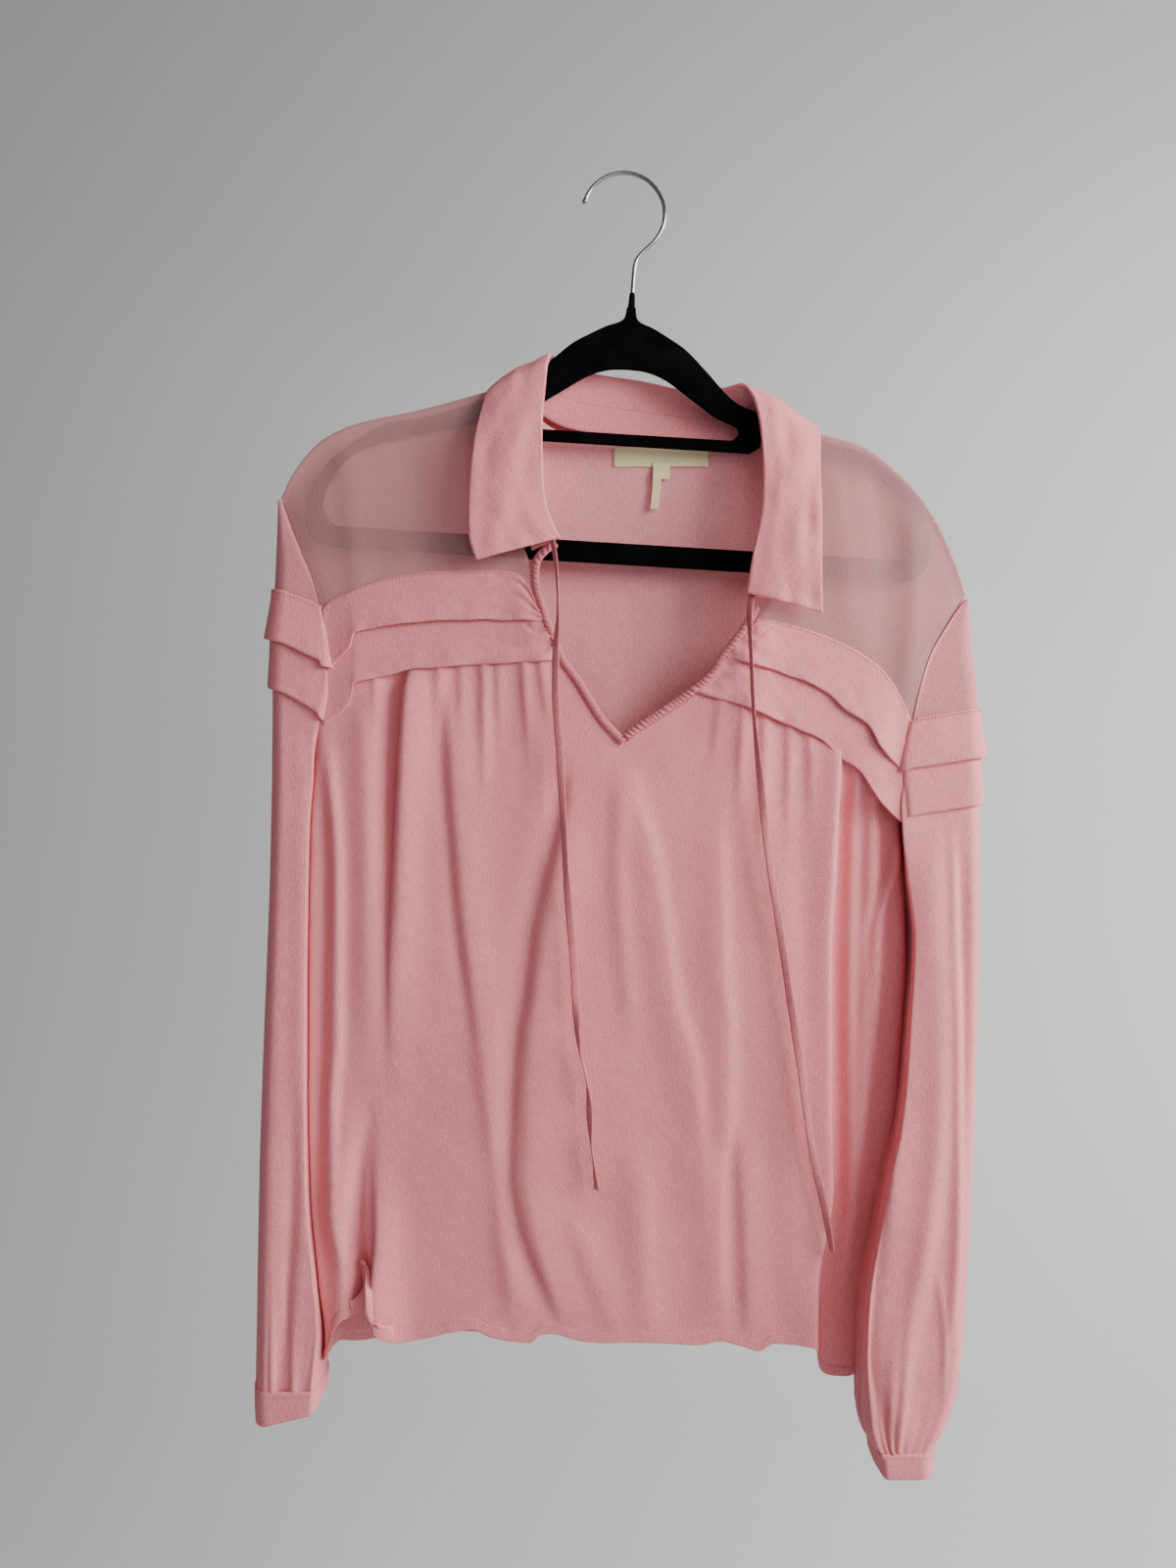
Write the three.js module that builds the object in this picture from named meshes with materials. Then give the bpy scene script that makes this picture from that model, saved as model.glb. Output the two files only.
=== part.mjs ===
// A long-sleeved crepe blouse on a flocked hanger, hanging by the hanger's hook.
// Millimetres. +X is the viewer's right, +Y goes away from the viewer, +Z is up.
// The origin is the inner top of the hook, where the hook rests.
import * as THREE from 'three';

// Cloth
const clothWall = 1.2;
const seamGap = 1.2;
const cuffGap = 0.4;
const ridgeGap = 1.5;
const armholeGap = 2;
const sideGap = 0.4;
const neckSeamDrop = 5.4;
const tierRise = 1.7;
const tierFlare = 3.6;
const tierOverlap = 7;
const bindingWidth = 4.6;
const bindingWall = 2.4;
const labelWall = 1.0;

// Hanger
const hangerTilt = THREE.MathUtils.degToRad(3.5);
const hangerCentre = 8.5;
const hangerThickness = 4.6;
const hookRadius = 28.4;
const hookCentreX = -0.7;
const hookCentreZ = -26.9;
const hookStartAngle = 170;
const hookEndAngle = -46;
const wireRadius = 1.45;
const bossTop = -92;

// Shoulder: the cloth goes over the hanger's arm in a half circle of this radius
const ridgeHalf = 3.9;

// Ties
const tieHalfWidth = 2.5;
const tieHalfThickness = 0.9;

// Width of the rounded sides of the body, and of a sleeve
const bodyCorner = 15;
const sleeveCorner = 9;

// Outline tables, a row for each section. Heights z, sides x.
const ridgeRows = [
  { x: -240, z: -225 },
  { x: -230, z: -205 },
  { x: -211, z: -184 },
  { x: -188, z: -173 },
  { x: -143, z: -163 },
  { x: -99, z: -151 },
  { x: -78, z: -142 },
  { x: -52, z: -95 },
  { x: 82, z: -105 },
  { x: 106, z: -165.5 },
  { x: 131, z: -178.5 },
  { x: 163, z: -188.5 },
  { x: 193, z: -212 },
  { x: 211, z: -235 },
  { x: 227, z: -269 },
  { x: 235, z: -293 },
];

// How far the cloth stands from the hanger's plane, by the height below the shoulder ridge
const dropRows = [
  { below: 0, front: 0, back: 0 },
  { below: 4, front: 0, back: 0 },
  { below: 40, front: 4, back: 4 },
  { below: 80, front: 9, back: 8 },
  { below: 140, front: 17, back: 12 },
  { below: 220, front: 21, back: 14 },
  { below: 400, front: 24, back: 15 },
  { below: 680, front: 27, back: 16 },
];

// Armhole seam, then the side where body and sleeve lie next to each other.
// closed is 0 along the armhole and 1 where both are closed round their sides.
const leftSideRows = [
  { z: -225, x: -239.4, closed: 0 },
  { z: -247, x: -231, closed: 0 },
  { z: -261, x: -225, closed: 0 },
  { z: -289, x: -213.5, closed: 0 },
  { z: -323, x: -206, closed: 0 },
  { z: -356, x: -203.8, closed: 0 },
  { z: -386, x: -209, closed: 0.05 },
  { z: -422, x: -214.5, closed: 0.7 },
  { z: -455, x: -216.8, closed: 1 },
  { z: -558, x: -218, closed: 1 },
  { z: -625, x: -218, closed: 1 },
  { z: -693, x: -216.5, closed: 1 },
  { z: -758, x: -210.5, closed: 1 },
  { z: -793, x: -206, closed: 1 },
  { z: -840, x: -208, closed: 1 },
];
const rightBodyRows = [
  { z: -293, x: 234.4, closed: 0 },
  { z: -315, x: 218, closed: 0 },
  { z: -336, x: 205.3, closed: 0 },
  { z: -356, x: 198, closed: 0 },
  { z: -379, x: 192, closed: 0 },
  { z: -416, x: 186, closed: 0 },
  { z: -449, x: 186.5, closed: 0.4 },
  { z: -489, x: 186, closed: 1 },
  { z: -546, x: 183, closed: 1 },
  { z: -594, x: 185, closed: 1 },
  { z: -636, x: 182.3, closed: 1 },
  { z: -684, x: 177, closed: 1 },
  { z: -761, x: 165.7, closed: 1 },
  { z: -809, x: 161.3, closed: 1 },
  { z: -840, x: 160.5, closed: 1 },
];
const rightSleeveInnerRows = [
  { z: -293, x: 234.4, closed: 0 },
  { z: -315, x: 218, closed: 0 },
  { z: -336, x: 205.3, closed: 0 },
  { z: -356, x: 198, closed: 0 },
  { z: -379, x: 192, closed: 0 },
  { z: -416, x: 186, closed: 0 },
  { z: -449, x: 187, closed: 0.4 },
  { z: -489, x: 191, closed: 1 },
  { z: -523, x: 194.6, closed: 1 },
  { z: -584, x: 190, closed: 1 },
  { z: -624, x: 186.4, closed: 1 },
  { z: -657, x: 181.2, closed: 1 },
  { z: -677, x: 175.4, closed: 1 },
  { z: -718, x: 166.5, closed: 1 },
  { z: -777, x: 156.4, closed: 1 },
  { z: -838, x: 154.2, closed: 1 },
  { z: -851, x: 157, closed: 1 },
  { z: -862, x: 163, closed: 1 },
  { z: -890, x: 165, closed: 1 },
];

// Sleeves: the outer edge, the front and back walls and the middle of the rounded edges
const leftSleeveRows = [
  { z: -226, outer: -241.6, front: -4, middle: 0, back: 4 },
  { z: -245, outer: -241.8, front: -9, middle: -1, back: 8 },
  { z: -288, outer: -243, front: -16, middle: -3, back: 13 },
  { z: -322, outer: -243.6, front: -20, middle: -4, back: 15 },
  { z: -386, outer: -243, front: -25, middle: -6, back: 17 },
  { z: -422, outer: -243, front: -27, middle: -7, back: 17 },
  { z: -489, outer: -244, front: -30, middle: -8, back: 16 },
  { z: -555, outer: -246, front: -32, middle: -9, back: 14 },
  { z: -621, outer: -248, front: -34, middle: -11, back: 12 },
  { z: -687, outer: -249.3, front: -36, middle: -14, back: 9 },
  { z: -753, outer: -249.8, front: -38, middle: -17, back: 6 },
  { z: -819, outer: -250, front: -40, middle: -19, back: 3 },
  { z: -862, outer: -249, front: -40, middle: -20, back: 1 },
];
const rightSleeveRows = [
  { z: -294, outer: 236.2, front: -4, middle: 0, back: 4 },
  { z: -328, outer: 237, front: -12, middle: -4, back: 9 },
  { z: -355, outer: 239, front: -18, middle: -7, back: 12 },
  { z: -378, outer: 239, front: -22, middle: -9, back: 14 },
  { z: -443, outer: 239, front: -27, middle: -10, back: 15 },
  { z: -489, outer: 238.6, front: -30, middle: -12, back: 14 },
  { z: -556, outer: 236, front: -36, middle: -16, back: 9 },
  { z: -598, outer: 234, front: -40, middle: -18, back: 4 },
  { z: -638, outer: 232, front: -43, middle: -20, back: 0 },
  { z: -677, outer: 229, front: -47, middle: -25, back: -7 },
  { z: -718, outer: 225.6, front: -51, middle: -30, back: -12 },
  { z: -777, outer: 221, front: -53, middle: -33, back: -14 },
  { z: -818, outer: 215.8, front: -54, middle: -34, back: -15 },
  { z: -840, outer: 209, front: -54, middle: -34, back: -15 },
  { z: -862, outer: 199.5, front: -54, middle: -34, back: -15 },
  { z: -890, outer: 199, front: -54, middle: -34, back: -15 },
];

// Top edge of the front below the yokes: left yoke seam, V neck, right yoke seam
const frontTopRows = [
  { x: -212, z: -312 },
  { x: -202, z: -299 },
  { x: -191, z: -294 },
  { x: -180, z: -289 },
  { x: -164, z: -284 },
  { x: -123, z: -279 },
  { x: -93, z: -279 },
  { x: -76, z: -280.5 },
  { x: -68, z: -288 },
  { x: -61, z: -305 },
  { x: -47, z: -340 },
  { x: -36, z: -356 },
  { x: -20.5, z: -380.5 },
  { x: -5, z: -395 },
  { x: 6, z: -388 },
  { x: 25, z: -376 },
  { x: 45, z: -362 },
  { x: 60, z: -350.5 },
  { x: 66, z: -340 },
  { x: 79, z: -323 },
  { x: 87, z: -312 },
  { x: 108, z: -315.6 },
  { x: 143, z: -327.5 },
  { x: 169, z: -344 },
  { x: 179, z: -356 },
  { x: 192, z: -381.5 },
];

// Hems
const frontHemRows = [
  { x: -206, z: -813 },
  { x: -200, z: -800 },
  { x: -194, z: -784 },
  { x: -184, z: -776 },
  { x: -174, z: -776 },
  { x: -164, z: -796 },
  { x: -133, z: -790 },
  { x: -110, z: -787 },
  { x: -68, z: -792 },
  { x: -20, z: -795 },
  { x: 45, z: -796 },
  { x: 81, z: -797 },
  { x: 116, z: -799 },
  { x: 132, z: -819 },
  { x: 160, z: -823 },
];
const backHemRows = [
  { x: -206, z: -817 },
  { x: -173, z: -817 },
  { x: -107, z: -812 },
  { x: 0, z: -813 },
  { x: 83, z: -812 },
  { x: 131, z: -823 },
  { x: 160, z: -830 },
];

// Lower edges of the tiers
const leftUpperTierRows = [
  { x: -203, z: -346 },
  { x: -197, z: -338 },
  { x: -190, z: -330 },
  { x: -183, z: -322 },
  { x: -173, z: -318 },
  { x: -149, z: -314 },
  { x: -95, z: -312 },
  { x: -57, z: -313 },
];
const leftLowerTierRows = [
  { x: -206, z: -384 },
  { x: -198, z: -376 },
  { x: -189, z: -365 },
  { x: -183, z: -356 },
  { x: -164, z: -350 },
  { x: -144, z: -345 },
  { x: -79, z: -341 },
  { x: -47, z: -339 },
];
const rightUpperTierRows = [
  { x: 68, z: -338 },
  { x: 82, z: -342 },
  { x: 101, z: -347 },
  { x: 133, z: -361 },
  { x: 145, z: -372 },
  { x: 160, z: -382 },
  { x: 168, z: -397 },
  { x: 185, z: -415 },
];
const rightLowerTierRows = [
  { x: 47, z: -361 },
  { x: 77, z: -370 },
  { x: 106, z: -382 },
  { x: 129, z: -392 },
  { x: 140, z: -403 },
  { x: 154, z: -413 },
  { x: 169, z: -435 },
  { x: 185, z: -449 },
];

// Heights on the sleeves at the outer and inner edges
const leftSleeveHeights = { seam: [-288, -303], upper: [-321, -346], lower: [-354, -381], cuff: [-833, -833] };
const rightSleeveHeights = { seam: [-370, -381], upper: [-403, -415], lower: [-434, -447], cuff: [-862, -862] };
const leftCuffBottom = [-858, -843];
const rightCuffBottom = [-881, -881];

// Folds of the front: centre line, half width, height outwards (a trough is negative)
const frontFolds = [
  { name: 'left edge trough', xTop: -167, xBottom: -160, zTop: -352, zBottom: -640, half: 10, out: -9 },
  { name: 'knife pleat', xTop: -142, xBottom: -157, zTop: -345, zBottom: -560, half: 12, out: 7 },
  { name: 'left chest trough', xTop: -126, xBottom: -108, zTop: -350, zBottom: -640, half: 12, out: -6 },
  { name: 'left centre fold', xTop: -40, xBottom: -86, zTop: -400, zBottom: -760, half: 16, out: 6 },
  { name: 'left hem trough', xTop: -96, xBottom: -110, zTop: -560, zBottom: -830, half: 16, out: -7 },
  { name: 'centre fold', xTop: 0, xBottom: 34, zTop: -410, zBottom: -720, half: 15, out: 5 },
  { name: 'right centre trough', xTop: 52, xBottom: 70, zTop: -440, zBottom: -760, half: 14, out: -5 },
  { name: 'right fold', xTop: 104, xBottom: 106, zTop: -400, zBottom: -830, half: 16, out: 4 },
  { name: 'side fold', xTop: 158, xBottom: 160, zTop: -425, zBottom: -640, half: 9, out: 6 },
  { name: 'left flap', xTop: -186, xBottom: -182, zTop: -640, zBottom: -860, half: 12, out: 7 },
];
const backFolds = [
  { name: 'left fold', xTop: -120, xBottom: -140, zTop: -380, zBottom: -860, half: 22, out: 6 },
  { name: 'centre trough', xTop: -20, xBottom: -34, zTop: -360, zBottom: -860, half: 24, out: -6 },
  { name: 'right fold', xTop: 66, xBottom: 80, zTop: -400, zBottom: -860, half: 22, out: 6 },
];
const foldFade = 60;

// Right of this line the front drops back behind the sleeve
const recessLine = { xTop: 139, xBottom: 127, zTop: -395, zBottom: -820 };
const recessDepth = 13;
const recessHalf = 7;

// Collar and stand, a row for each station from the left point round the neck to the right point.
// roll is the fold at the top, edge the leaf's outer edge, seam the neck seam below the stand.
const collarRows = [
  { rollX: -47, rollY: -31, rollZ: -258, edgeX: -101.5, edgeY: -34, edgeZ: -273, seamX: -65, seamY: -21, seamZ: -264 },
  { rollX: -53, rollY: -31, rollZ: -246, edgeX: -106, edgeY: -33, edgeZ: -257, seamX: -68, seamY: -19.5, seamZ: -250 },
  { rollX: -57, rollY: -30, rollZ: -232, edgeX: -106.5, edgeY: -32, edgeZ: -239, seamX: -71, seamY: -16.5, seamZ: -234 },
  { rollX: -59, rollY: -28.5, rollZ: -211, edgeX: -105.5, edgeY: -29, edgeZ: -214, seamX: -74, seamY: -12.8, seamZ: -212 },
  { rollX: -59.5, rollY: -24, rollZ: -184, edgeX: -103, edgeY: -23, edgeZ: -187, seamX: -76, seamY: -9, seamZ: -187 },
  { rollX: -58, rollY: -16, rollZ: -155, edgeX: -99, edgeY: -14, edgeZ: -165, seamX: -77, seamY: -6.2, seamZ: -163 },
  { rollX: -56, rollY: -7, rollZ: -131.5, edgeX: -96, edgeY: -7, edgeZ: -152, seamX: -77, seamY: -4.6, seamZ: -147 },
  { rollX: -54, rollY: 1, rollZ: -124.5, edgeX: -93, edgeY: 3, edgeZ: -146, seamX: -76, seamY: 0, seamZ: -140.4 },
  { rollX: -44, rollY: 10, rollZ: -129, edgeX: -80, edgeY: 17, edgeZ: -162, seamX: -66, seamY: 9, seamZ: -157 },
  { rollX: -22, rollY: 16, rollZ: -134, edgeX: -44, edgeY: 25, edgeZ: -183, seamX: -42, seamY: 13, seamZ: -171 },
  { rollX: 9, rollY: 18, rollZ: -138, edgeX: 8, edgeY: 28, edgeZ: -191, seamX: 6, seamY: 16, seamZ: -177 },
  { rollX: 43, rollY: 16, rollZ: -145, edgeX: 60, edgeY: 25, edgeZ: -198, seamX: 54, seamY: 15, seamZ: -182 },
  { rollX: 65, rollY: 9, rollZ: -146, edgeX: 106, edgeY: 17, edgeZ: -188, seamX: 89, seamY: 10.5, seamZ: -179 },
  { rollX: 79, rollY: 0, rollZ: -145, edgeX: 130, edgeY: 3, edgeZ: -172.5, seamX: 104, seamY: 0, seamZ: -160.6 },
  { rollX: 87, rollY: -9, rollZ: -156, edgeX: 131.5, edgeY: -8, edgeZ: -184, seamX: 105, seamY: -5, seamZ: -172 },
  { rollX: 91, rollY: -19, rollZ: -180, edgeX: 130.5, edgeY: -17, edgeZ: -199, seamX: 105, seamY: -7.5, seamZ: -191 },
  { rollX: 92, rollY: -25, rollZ: -204, edgeX: 129.5, edgeY: -24, edgeZ: -219, seamX: 104.5, seamY: -10.5, seamZ: -211 },
  { rollX: 91.5, rollY: -28, rollZ: -228, edgeX: 129, edgeY: -29, edgeZ: -244, seamX: 104, seamY: -13.5, seamZ: -232 },
  { rollX: 88, rollY: -30, rollZ: -252, edgeX: 128.5, edgeY: -32, edgeZ: -268, seamX: 101, seamY: -17, seamZ: -255 },
  { rollX: 83, rollY: -31.5, rollZ: -276, edgeX: 128, edgeY: -34, edgeZ: -291, seamX: 97, seamY: -20, seamZ: -278 },
  { rollX: 80, rollY: -32, rollZ: -295, edgeX: 128.5, edgeY: -35, edgeZ: -308, seamX: 91, seamY: -22, seamZ: -297 },
];
const standDrop = 1.7;
const collarBulge = 1.5;

// Inner edges of the yokes, down the neck seam and the V neck
const leftNeckEdge = [
  { z: -142, x: -78.6 },
  { z: -163, x: -79 },
  { z: -187, x: -78 },
  { z: -212, x: -76 },
  { z: -234, x: -73 },
  { z: -264, x: -70.6 },
  { z: -275, x: -70.4 },
  { z: -289, x: -67.6 },
  { z: -305, x: -63.4 },
];
const rightNeckEdge = [
  { z: -162, x: 106.6 },
  { z: -191, x: 107 },
  { z: -232, x: 106 },
  { z: -255, x: 103.5 },
  { z: -278, x: 99 },
  { z: -297, x: 93 },
  { z: -312, x: 87 },
];

// Opening edge of the V neck, from the collar's ends down to its point
const leftOpening = [
  { x: -63, z: -272 },
  { x: -60, z: -289 },
  { x: -55.5, z: -304 },
  { x: -50, z: -319 },
  { x: -42.5, z: -337 },
  { x: -31.5, z: -352.5 },
  { x: -17, z: -376 },
  { x: -5.2, z: -389 },
];
const rightOpening = [
  { x: 84, z: -302 },
  { x: 75, z: -318 },
  { x: 62, z: -334.5 },
  { x: 55.5, z: -345.5 },
  { x: 42, z: -357.5 },
  { x: 22.5, z: -371 },
  { x: 3.5, z: -383.5 },
  { x: -4.2, z: -389 },
];

// Ties: free from the ends of the neck casing to their bare ends
const leftTieRoute = [
  [-64.6, -22.6, -270.8],
  [-59, -27, -268.5],
  [-52.5, -33, -268.5],
  [-48.5, -37, -274],
  [-47.2, -37.8, -287],
  [-47, -38.5, -310],
  [-48.5, -39.5, -336],
  [-48.5, -40, -366],
  [-46, -40, -400],
  [-43.5, -40, -445],
  [-41, -40, -490],
  [-37, -40, -535],
  [-35.5, -40, -560],
  [-33.5, -40, -593],
  [-29, -40, -612],
  [-26.5, -40, -632],
  [-25.5, -40, -655],
  [-23.5, -40, -672],
  [-21.5, -40, -690],
];
const rightTieRoute = [
  [87, -25, -301.2],
  [84.5, -29.5, -300.5],
  [81, -35, -302],
  [79.6, -38, -308],
  [80, -38.8, -328],
  [82.5, -39.5, -378],
  [87, -40, -424],
  [92, -40, -470],
  [98, -40, -508],
  [105, -40, -556],
  [113.5, -40, -612],
  [121, -40, -665],
  [128.5, -40, -700],
  [134, -40, -731],
];

// Labels inside the neck
const mainLabel = { left: -9, right: 57, top: -186, bottom: -199, forward: 1.5 };
const sizeLabel = { left: 18.5, right: 30, top: -196.5, bottom: -208, forward: 2.9 };
const loopLabel = { left: 18.5, right: 24, top: -203, bottom: -229, forward: 4.3 };

// Hanger outline, from the centre line outwards
const hangerTopRows = [
  { half: 3.2, z: bossTop },
  { half: 4.2, z: -99 },
  { half: 8, z: -102.5 },
  { half: 16, z: -105.5 },
  { half: 28, z: -112 },
  { half: 40, z: -119.5 },
  { half: 54, z: -132.5 },
  { half: 75, z: -152.5 },
  { half: 95, z: -160.5 },
  { half: 135, z: -175.5 },
  { half: 165, z: -183 },
  { half: 188, z: -198 },
  { half: 205, z: -214 },
  { half: 214, z: -231 },
  { half: 217, z: -248 },
  { half: 213, z: -263 },
  { half: 203, z: -270 },
];
const hangerLowerHoleRows = [
  { half: 88, z: -187.6 },
  { half: 95, z: -183 },
  { half: 100, z: -178 },
  { half: 155, z: -192 },
  { half: 184, z: -203 },
  { half: 198, z: -219 },
  { half: 205, z: -236 },
  { half: 203, z: -248 },
  { half: 195, z: -255.4 },
];
const hangerUpperHoleRows = [
  { half: 0, z: -134.5 },
  { half: 13, z: -135.5 },
  { half: 27, z: -140.5 },
  { half: 46, z: -153 },
  { half: 62, z: -163.5 },
  { half: 78, z: -170.5 },
  { half: 79, z: -176 },
  { half: 75, z: -179.8 },
];

const crepe = new THREE.MeshStandardMaterial({ color: 0xe3a6a8, roughness: 0.85, metalness: 0 });
const flocking = new THREE.MeshStandardMaterial({ color: 0x0b0b0c, roughness: 0.95, metalness: 0 });
const chrome = new THREE.MeshStandardMaterial({ color: 0xc4c6c8, roughness: 0.2, metalness: 1 });
const ribbon = new THREE.MeshStandardMaterial({ color: 0xe6dcc6, roughness: 0.8, metalness: 0 });

const garment = new THREE.Group();

// Smooth value of a table's column at a place in another column, without overshoot
function sample(rows, inKey, outKey, value) {
  const last = rows.length - 1;
  const rising = rows[last][inKey] > rows[0][inKey] ? 1 : -1;
  const place = (i) => rising * rows[i][inKey];
  const target = rising * value;
  if (target <= place(0)) return rows[0][outKey];
  if (target >= place(last)) return rows[last][outKey];
  let i = 0;
  while (target > place(i + 1)) i += 1;
  const slope = (k) => (rows[k + 1][outKey] - rows[k][outKey]) / (place(k + 1) - place(k));
  const tangent = (k) => {
    if (k === 0) return slope(0);
    if (k === last) return slope(last - 1);
    const before = slope(k - 1);
    const after = slope(k);
    return before * after > 0 ? (2 * before * after) / (before + after) : 0;
  };
  const span = place(i + 1) - place(i);
  const t = (target - place(i)) / span;
  const start = rows[i][outKey] * (1 + 2 * t) * (1 - t) * (1 - t);
  const end = rows[i + 1][outKey] * t * t * (3 - 2 * t);
  const bend = span * t * (1 - t) * (tangent(i) * (1 - t) - tangent(i + 1) * t);
  return start + end + bend;
}

// Numbers from start to end in equal steps, both ends included
function spread(start, end, steps) {
  return Array.from({ length: steps + 1 }, (_, i) => start + ((end - start) * i) / steps);
}

function outwardNormal(surface, u, v, sign) {
  const step = 0.0006;
  const across = surface(Math.min(u + step, 1), v).sub(surface(Math.max(u - step, 0), v));
  const down = surface(u, Math.min(v + step, 1)).sub(surface(u, Math.max(v - step, 0)));
  return across.cross(down).normalize().multiplyScalar(sign);
}

// The same surface, moved out by an amount that can change along it
function movedOut(surface, sign, amount) {
  return (u, v) => surface(u, v).addScaledVector(outwardNormal(surface, u, v, sign), amount(u, v));
}

// A closed cloth wall of even thickness on both sides of a surface over u and v from 0 to 1
function addWall(name, surface, sign, acrossPlaces, downPlaces, thickness, material) {
  const columns = acrossPlaces.length;
  const rows = downPlaces.length;
  const points = [];
  for (const side of [0.5, -0.5]) {
    for (const v of downPlaces) {
      for (const u of acrossPlaces) {
        const normal = outwardNormal(surface, u, v, sign);
        points.push(surface(u, v).addScaledVector(normal, side * thickness));
      }
    }
  }
  const outer = (i, j) => j * columns + i;
  const inner = (i, j) => rows * columns + j * columns + i;
  const faces = [];
  const quad = (a, b, c, d) => faces.push(a, b, c, a, c, d);
  for (let j = 0; j < rows - 1; j += 1) {
    for (let i = 0; i < columns - 1; i += 1) {
      quad(outer(i, j), outer(i, j + 1), outer(i + 1, j + 1), outer(i + 1, j));
      quad(inner(i, j), inner(i + 1, j), inner(i + 1, j + 1), inner(i, j + 1));
    }
  }
  for (let i = 0; i < columns - 1; i += 1) {
    quad(outer(i, 0), outer(i + 1, 0), inner(i + 1, 0), inner(i, 0));
    quad(outer(i + 1, rows - 1), outer(i, rows - 1), inner(i, rows - 1), inner(i + 1, rows - 1));
  }
  for (let j = 0; j < rows - 1; j += 1) {
    quad(outer(0, j + 1), outer(0, j), inner(0, j), inner(0, j + 1));
    quad(outer(columns - 1, j), outer(columns - 1, j + 1), inner(columns - 1, j + 1), inner(columns - 1, j));
  }
  if (signedVolume(points, faces) < 0) faces.reverse();
  const geometry = new THREE.BufferGeometry().setFromPoints(points);
  geometry.setIndex(faces);
  geometry.computeVertexNormals();
  addPart(name, geometry, material);
}

function signedVolume(points, faces) {
  let total = 0;
  for (let i = 0; i < faces.length; i += 3) {
    const [a, b, c] = [points[faces[i]], points[faces[i + 1]], points[faces[i + 2]]];
    total += a.dot(b.clone().cross(c));
  }
  return total / 6;
}

function addPart(name, geometry, material, parent = garment) {
  const mesh = new THREE.Mesh(geometry, material.clone());
  mesh.name = name;
  parent.add(mesh);
}

// Depth of the front and back cloth at a place
function standOff(x, z, key) {
  const below = Math.max(0, sample(ridgeRows, 'x', 'z', x) - z);
  const round = 1 - Math.min(below, ridgeHalf) / ridgeHalf;
  return ridgeHalf * Math.sqrt(1 - round * round) + sample(dropRows, 'below', key, below);
}
const frontY = (x, z) => -standOff(x, z, 'front');
const backY = (x, z) => standOff(x, z, 'back');

function foldHeight(folds, x, z) {
  let total = 0;
  for (const fold of folds) {
    const along = (fold.zTop - z) / (fold.zTop - fold.zBottom);
    const centre = THREE.MathUtils.lerp(fold.xTop, fold.xBottom, THREE.MathUtils.clamp(along, 0, 1));
    const offset = (x - centre) / fold.half;
    const start = THREE.MathUtils.smoothstep(fold.zTop - z, 0, foldFade);
    const end = THREE.MathUtils.smoothstep(z - fold.zBottom, -foldFade, 0);
    total += fold.out * Math.exp(-offset * offset) * start * end;
  }
  return total;
}

function recess(x, z) {
  const along = (recessLine.zTop - z) / (recessLine.zTop - recessLine.zBottom);
  const line = THREE.MathUtils.lerp(recessLine.xTop, recessLine.xBottom, THREE.MathUtils.clamp(along, 0, 1));
  const reach = THREE.MathUtils.smoothstep(recessLine.zTop - z, 0, 2 * foldFade);
  return recessDepth * reach * THREE.MathUtils.smoothstep(x, line - recessHalf, line + recessHalf);
}

// Places across a body panel: 0 to 0.1 and 0.9 to 1 go round its sides
const cornerShare = 0.1;
const cornerPlaces = spread(0, cornerShare, 3);
const bodyPlaces = (steps) => [
  ...cornerPlaces.slice(0, -1),
  ...spread(cornerShare, 1 - cornerShare, steps),
  ...cornerPlaces.slice(0, -1).map((u) => 1 - u).reverse(),
];

// A body panel's point at a place across it and a height
function bodyPoint(u, z, key) {
  const facing = key === 'front' ? -1 : 1;
  const leftClosed = sample(leftSideRows, 'z', 'closed', z);
  const rightClosed = sample(rightBodyRows, 'z', 'closed', z);
  const left = sample(leftSideRows, 'z', 'x', z) + (armholeGap + sideGap * leftClosed) / 2;
  const right = sample(rightBodyRows, 'z', 'x', z) - (armholeGap + sideGap * rightClosed) / 2;
  const edge = Math.min(u, 1 - u);
  const turn = Math.min(edge / cornerShare, 1) * (Math.PI / 2);
  let x = left + bodyCorner + ((right - left - 2 * bodyCorner) * (u - cornerShare)) / (1 - 2 * cornerShare);
  if (u < cornerShare) x = left + bodyCorner * (1 - Math.cos(turn));
  if (u > 1 - cornerShare) x = right - bodyCorner * (1 - Math.cos(turn));
  const closed = u < 0.5 ? leftClosed : rightClosed;
  const share = closed * Math.sin(turn) + 1 - closed;
  const folds = key === 'front' ? frontFolds : backFolds;
  const flat = facing * standOff(x, z, key);
  const shaped = facing * foldHeight(folds, x, z) * Math.sin(turn) + (key === 'front' ? recess(x, z) : 0);
  const seam = facing * (seamGap / 2) * closed;
  const y = seam + (flat + shaped) * share;
  return new THREE.Vector3(x, facing * Math.max(facing * y, ridgeGap / 2), z);
}

// The height of a table's edge on the column at u
function edgeHeight(u, rows, key) {
  let z = rows[Math.round(u * (rows.length - 1))].z;
  for (let turn = 0; turn < 6; turn += 1) z = sample(rows, 'x', 'z', bodyPoint(u, z, key).x);
  return z;
}

function frontSurface(u, v) {
  const top = edgeHeight(u, frontTopRows, 'front') - seamGap / 2;
  const bottom = edgeHeight(u, frontHemRows, 'front');
  return bodyPoint(u, THREE.MathUtils.lerp(top, bottom, v), 'front');
}

// Top edge of the back: the shoulder ridges and the neck seam between them
const backTopRows = [
  ...ridgeRows.filter((row) => row.x < -90),
  ...collarRows.filter((row) => row.seamY >= 0).map((row) => ({ x: row.seamX, z: row.seamZ - neckSeamDrop })),
  ...ridgeRows.filter((row) => row.x > 110),
];

function backSurface(u, v) {
  const top = edgeHeight(u, backTopRows, 'back');
  const bottom = edgeHeight(u, backHemRows, 'back');
  return bodyPoint(u, THREE.MathUtils.lerp(top, bottom, v), 'back');
}

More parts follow.
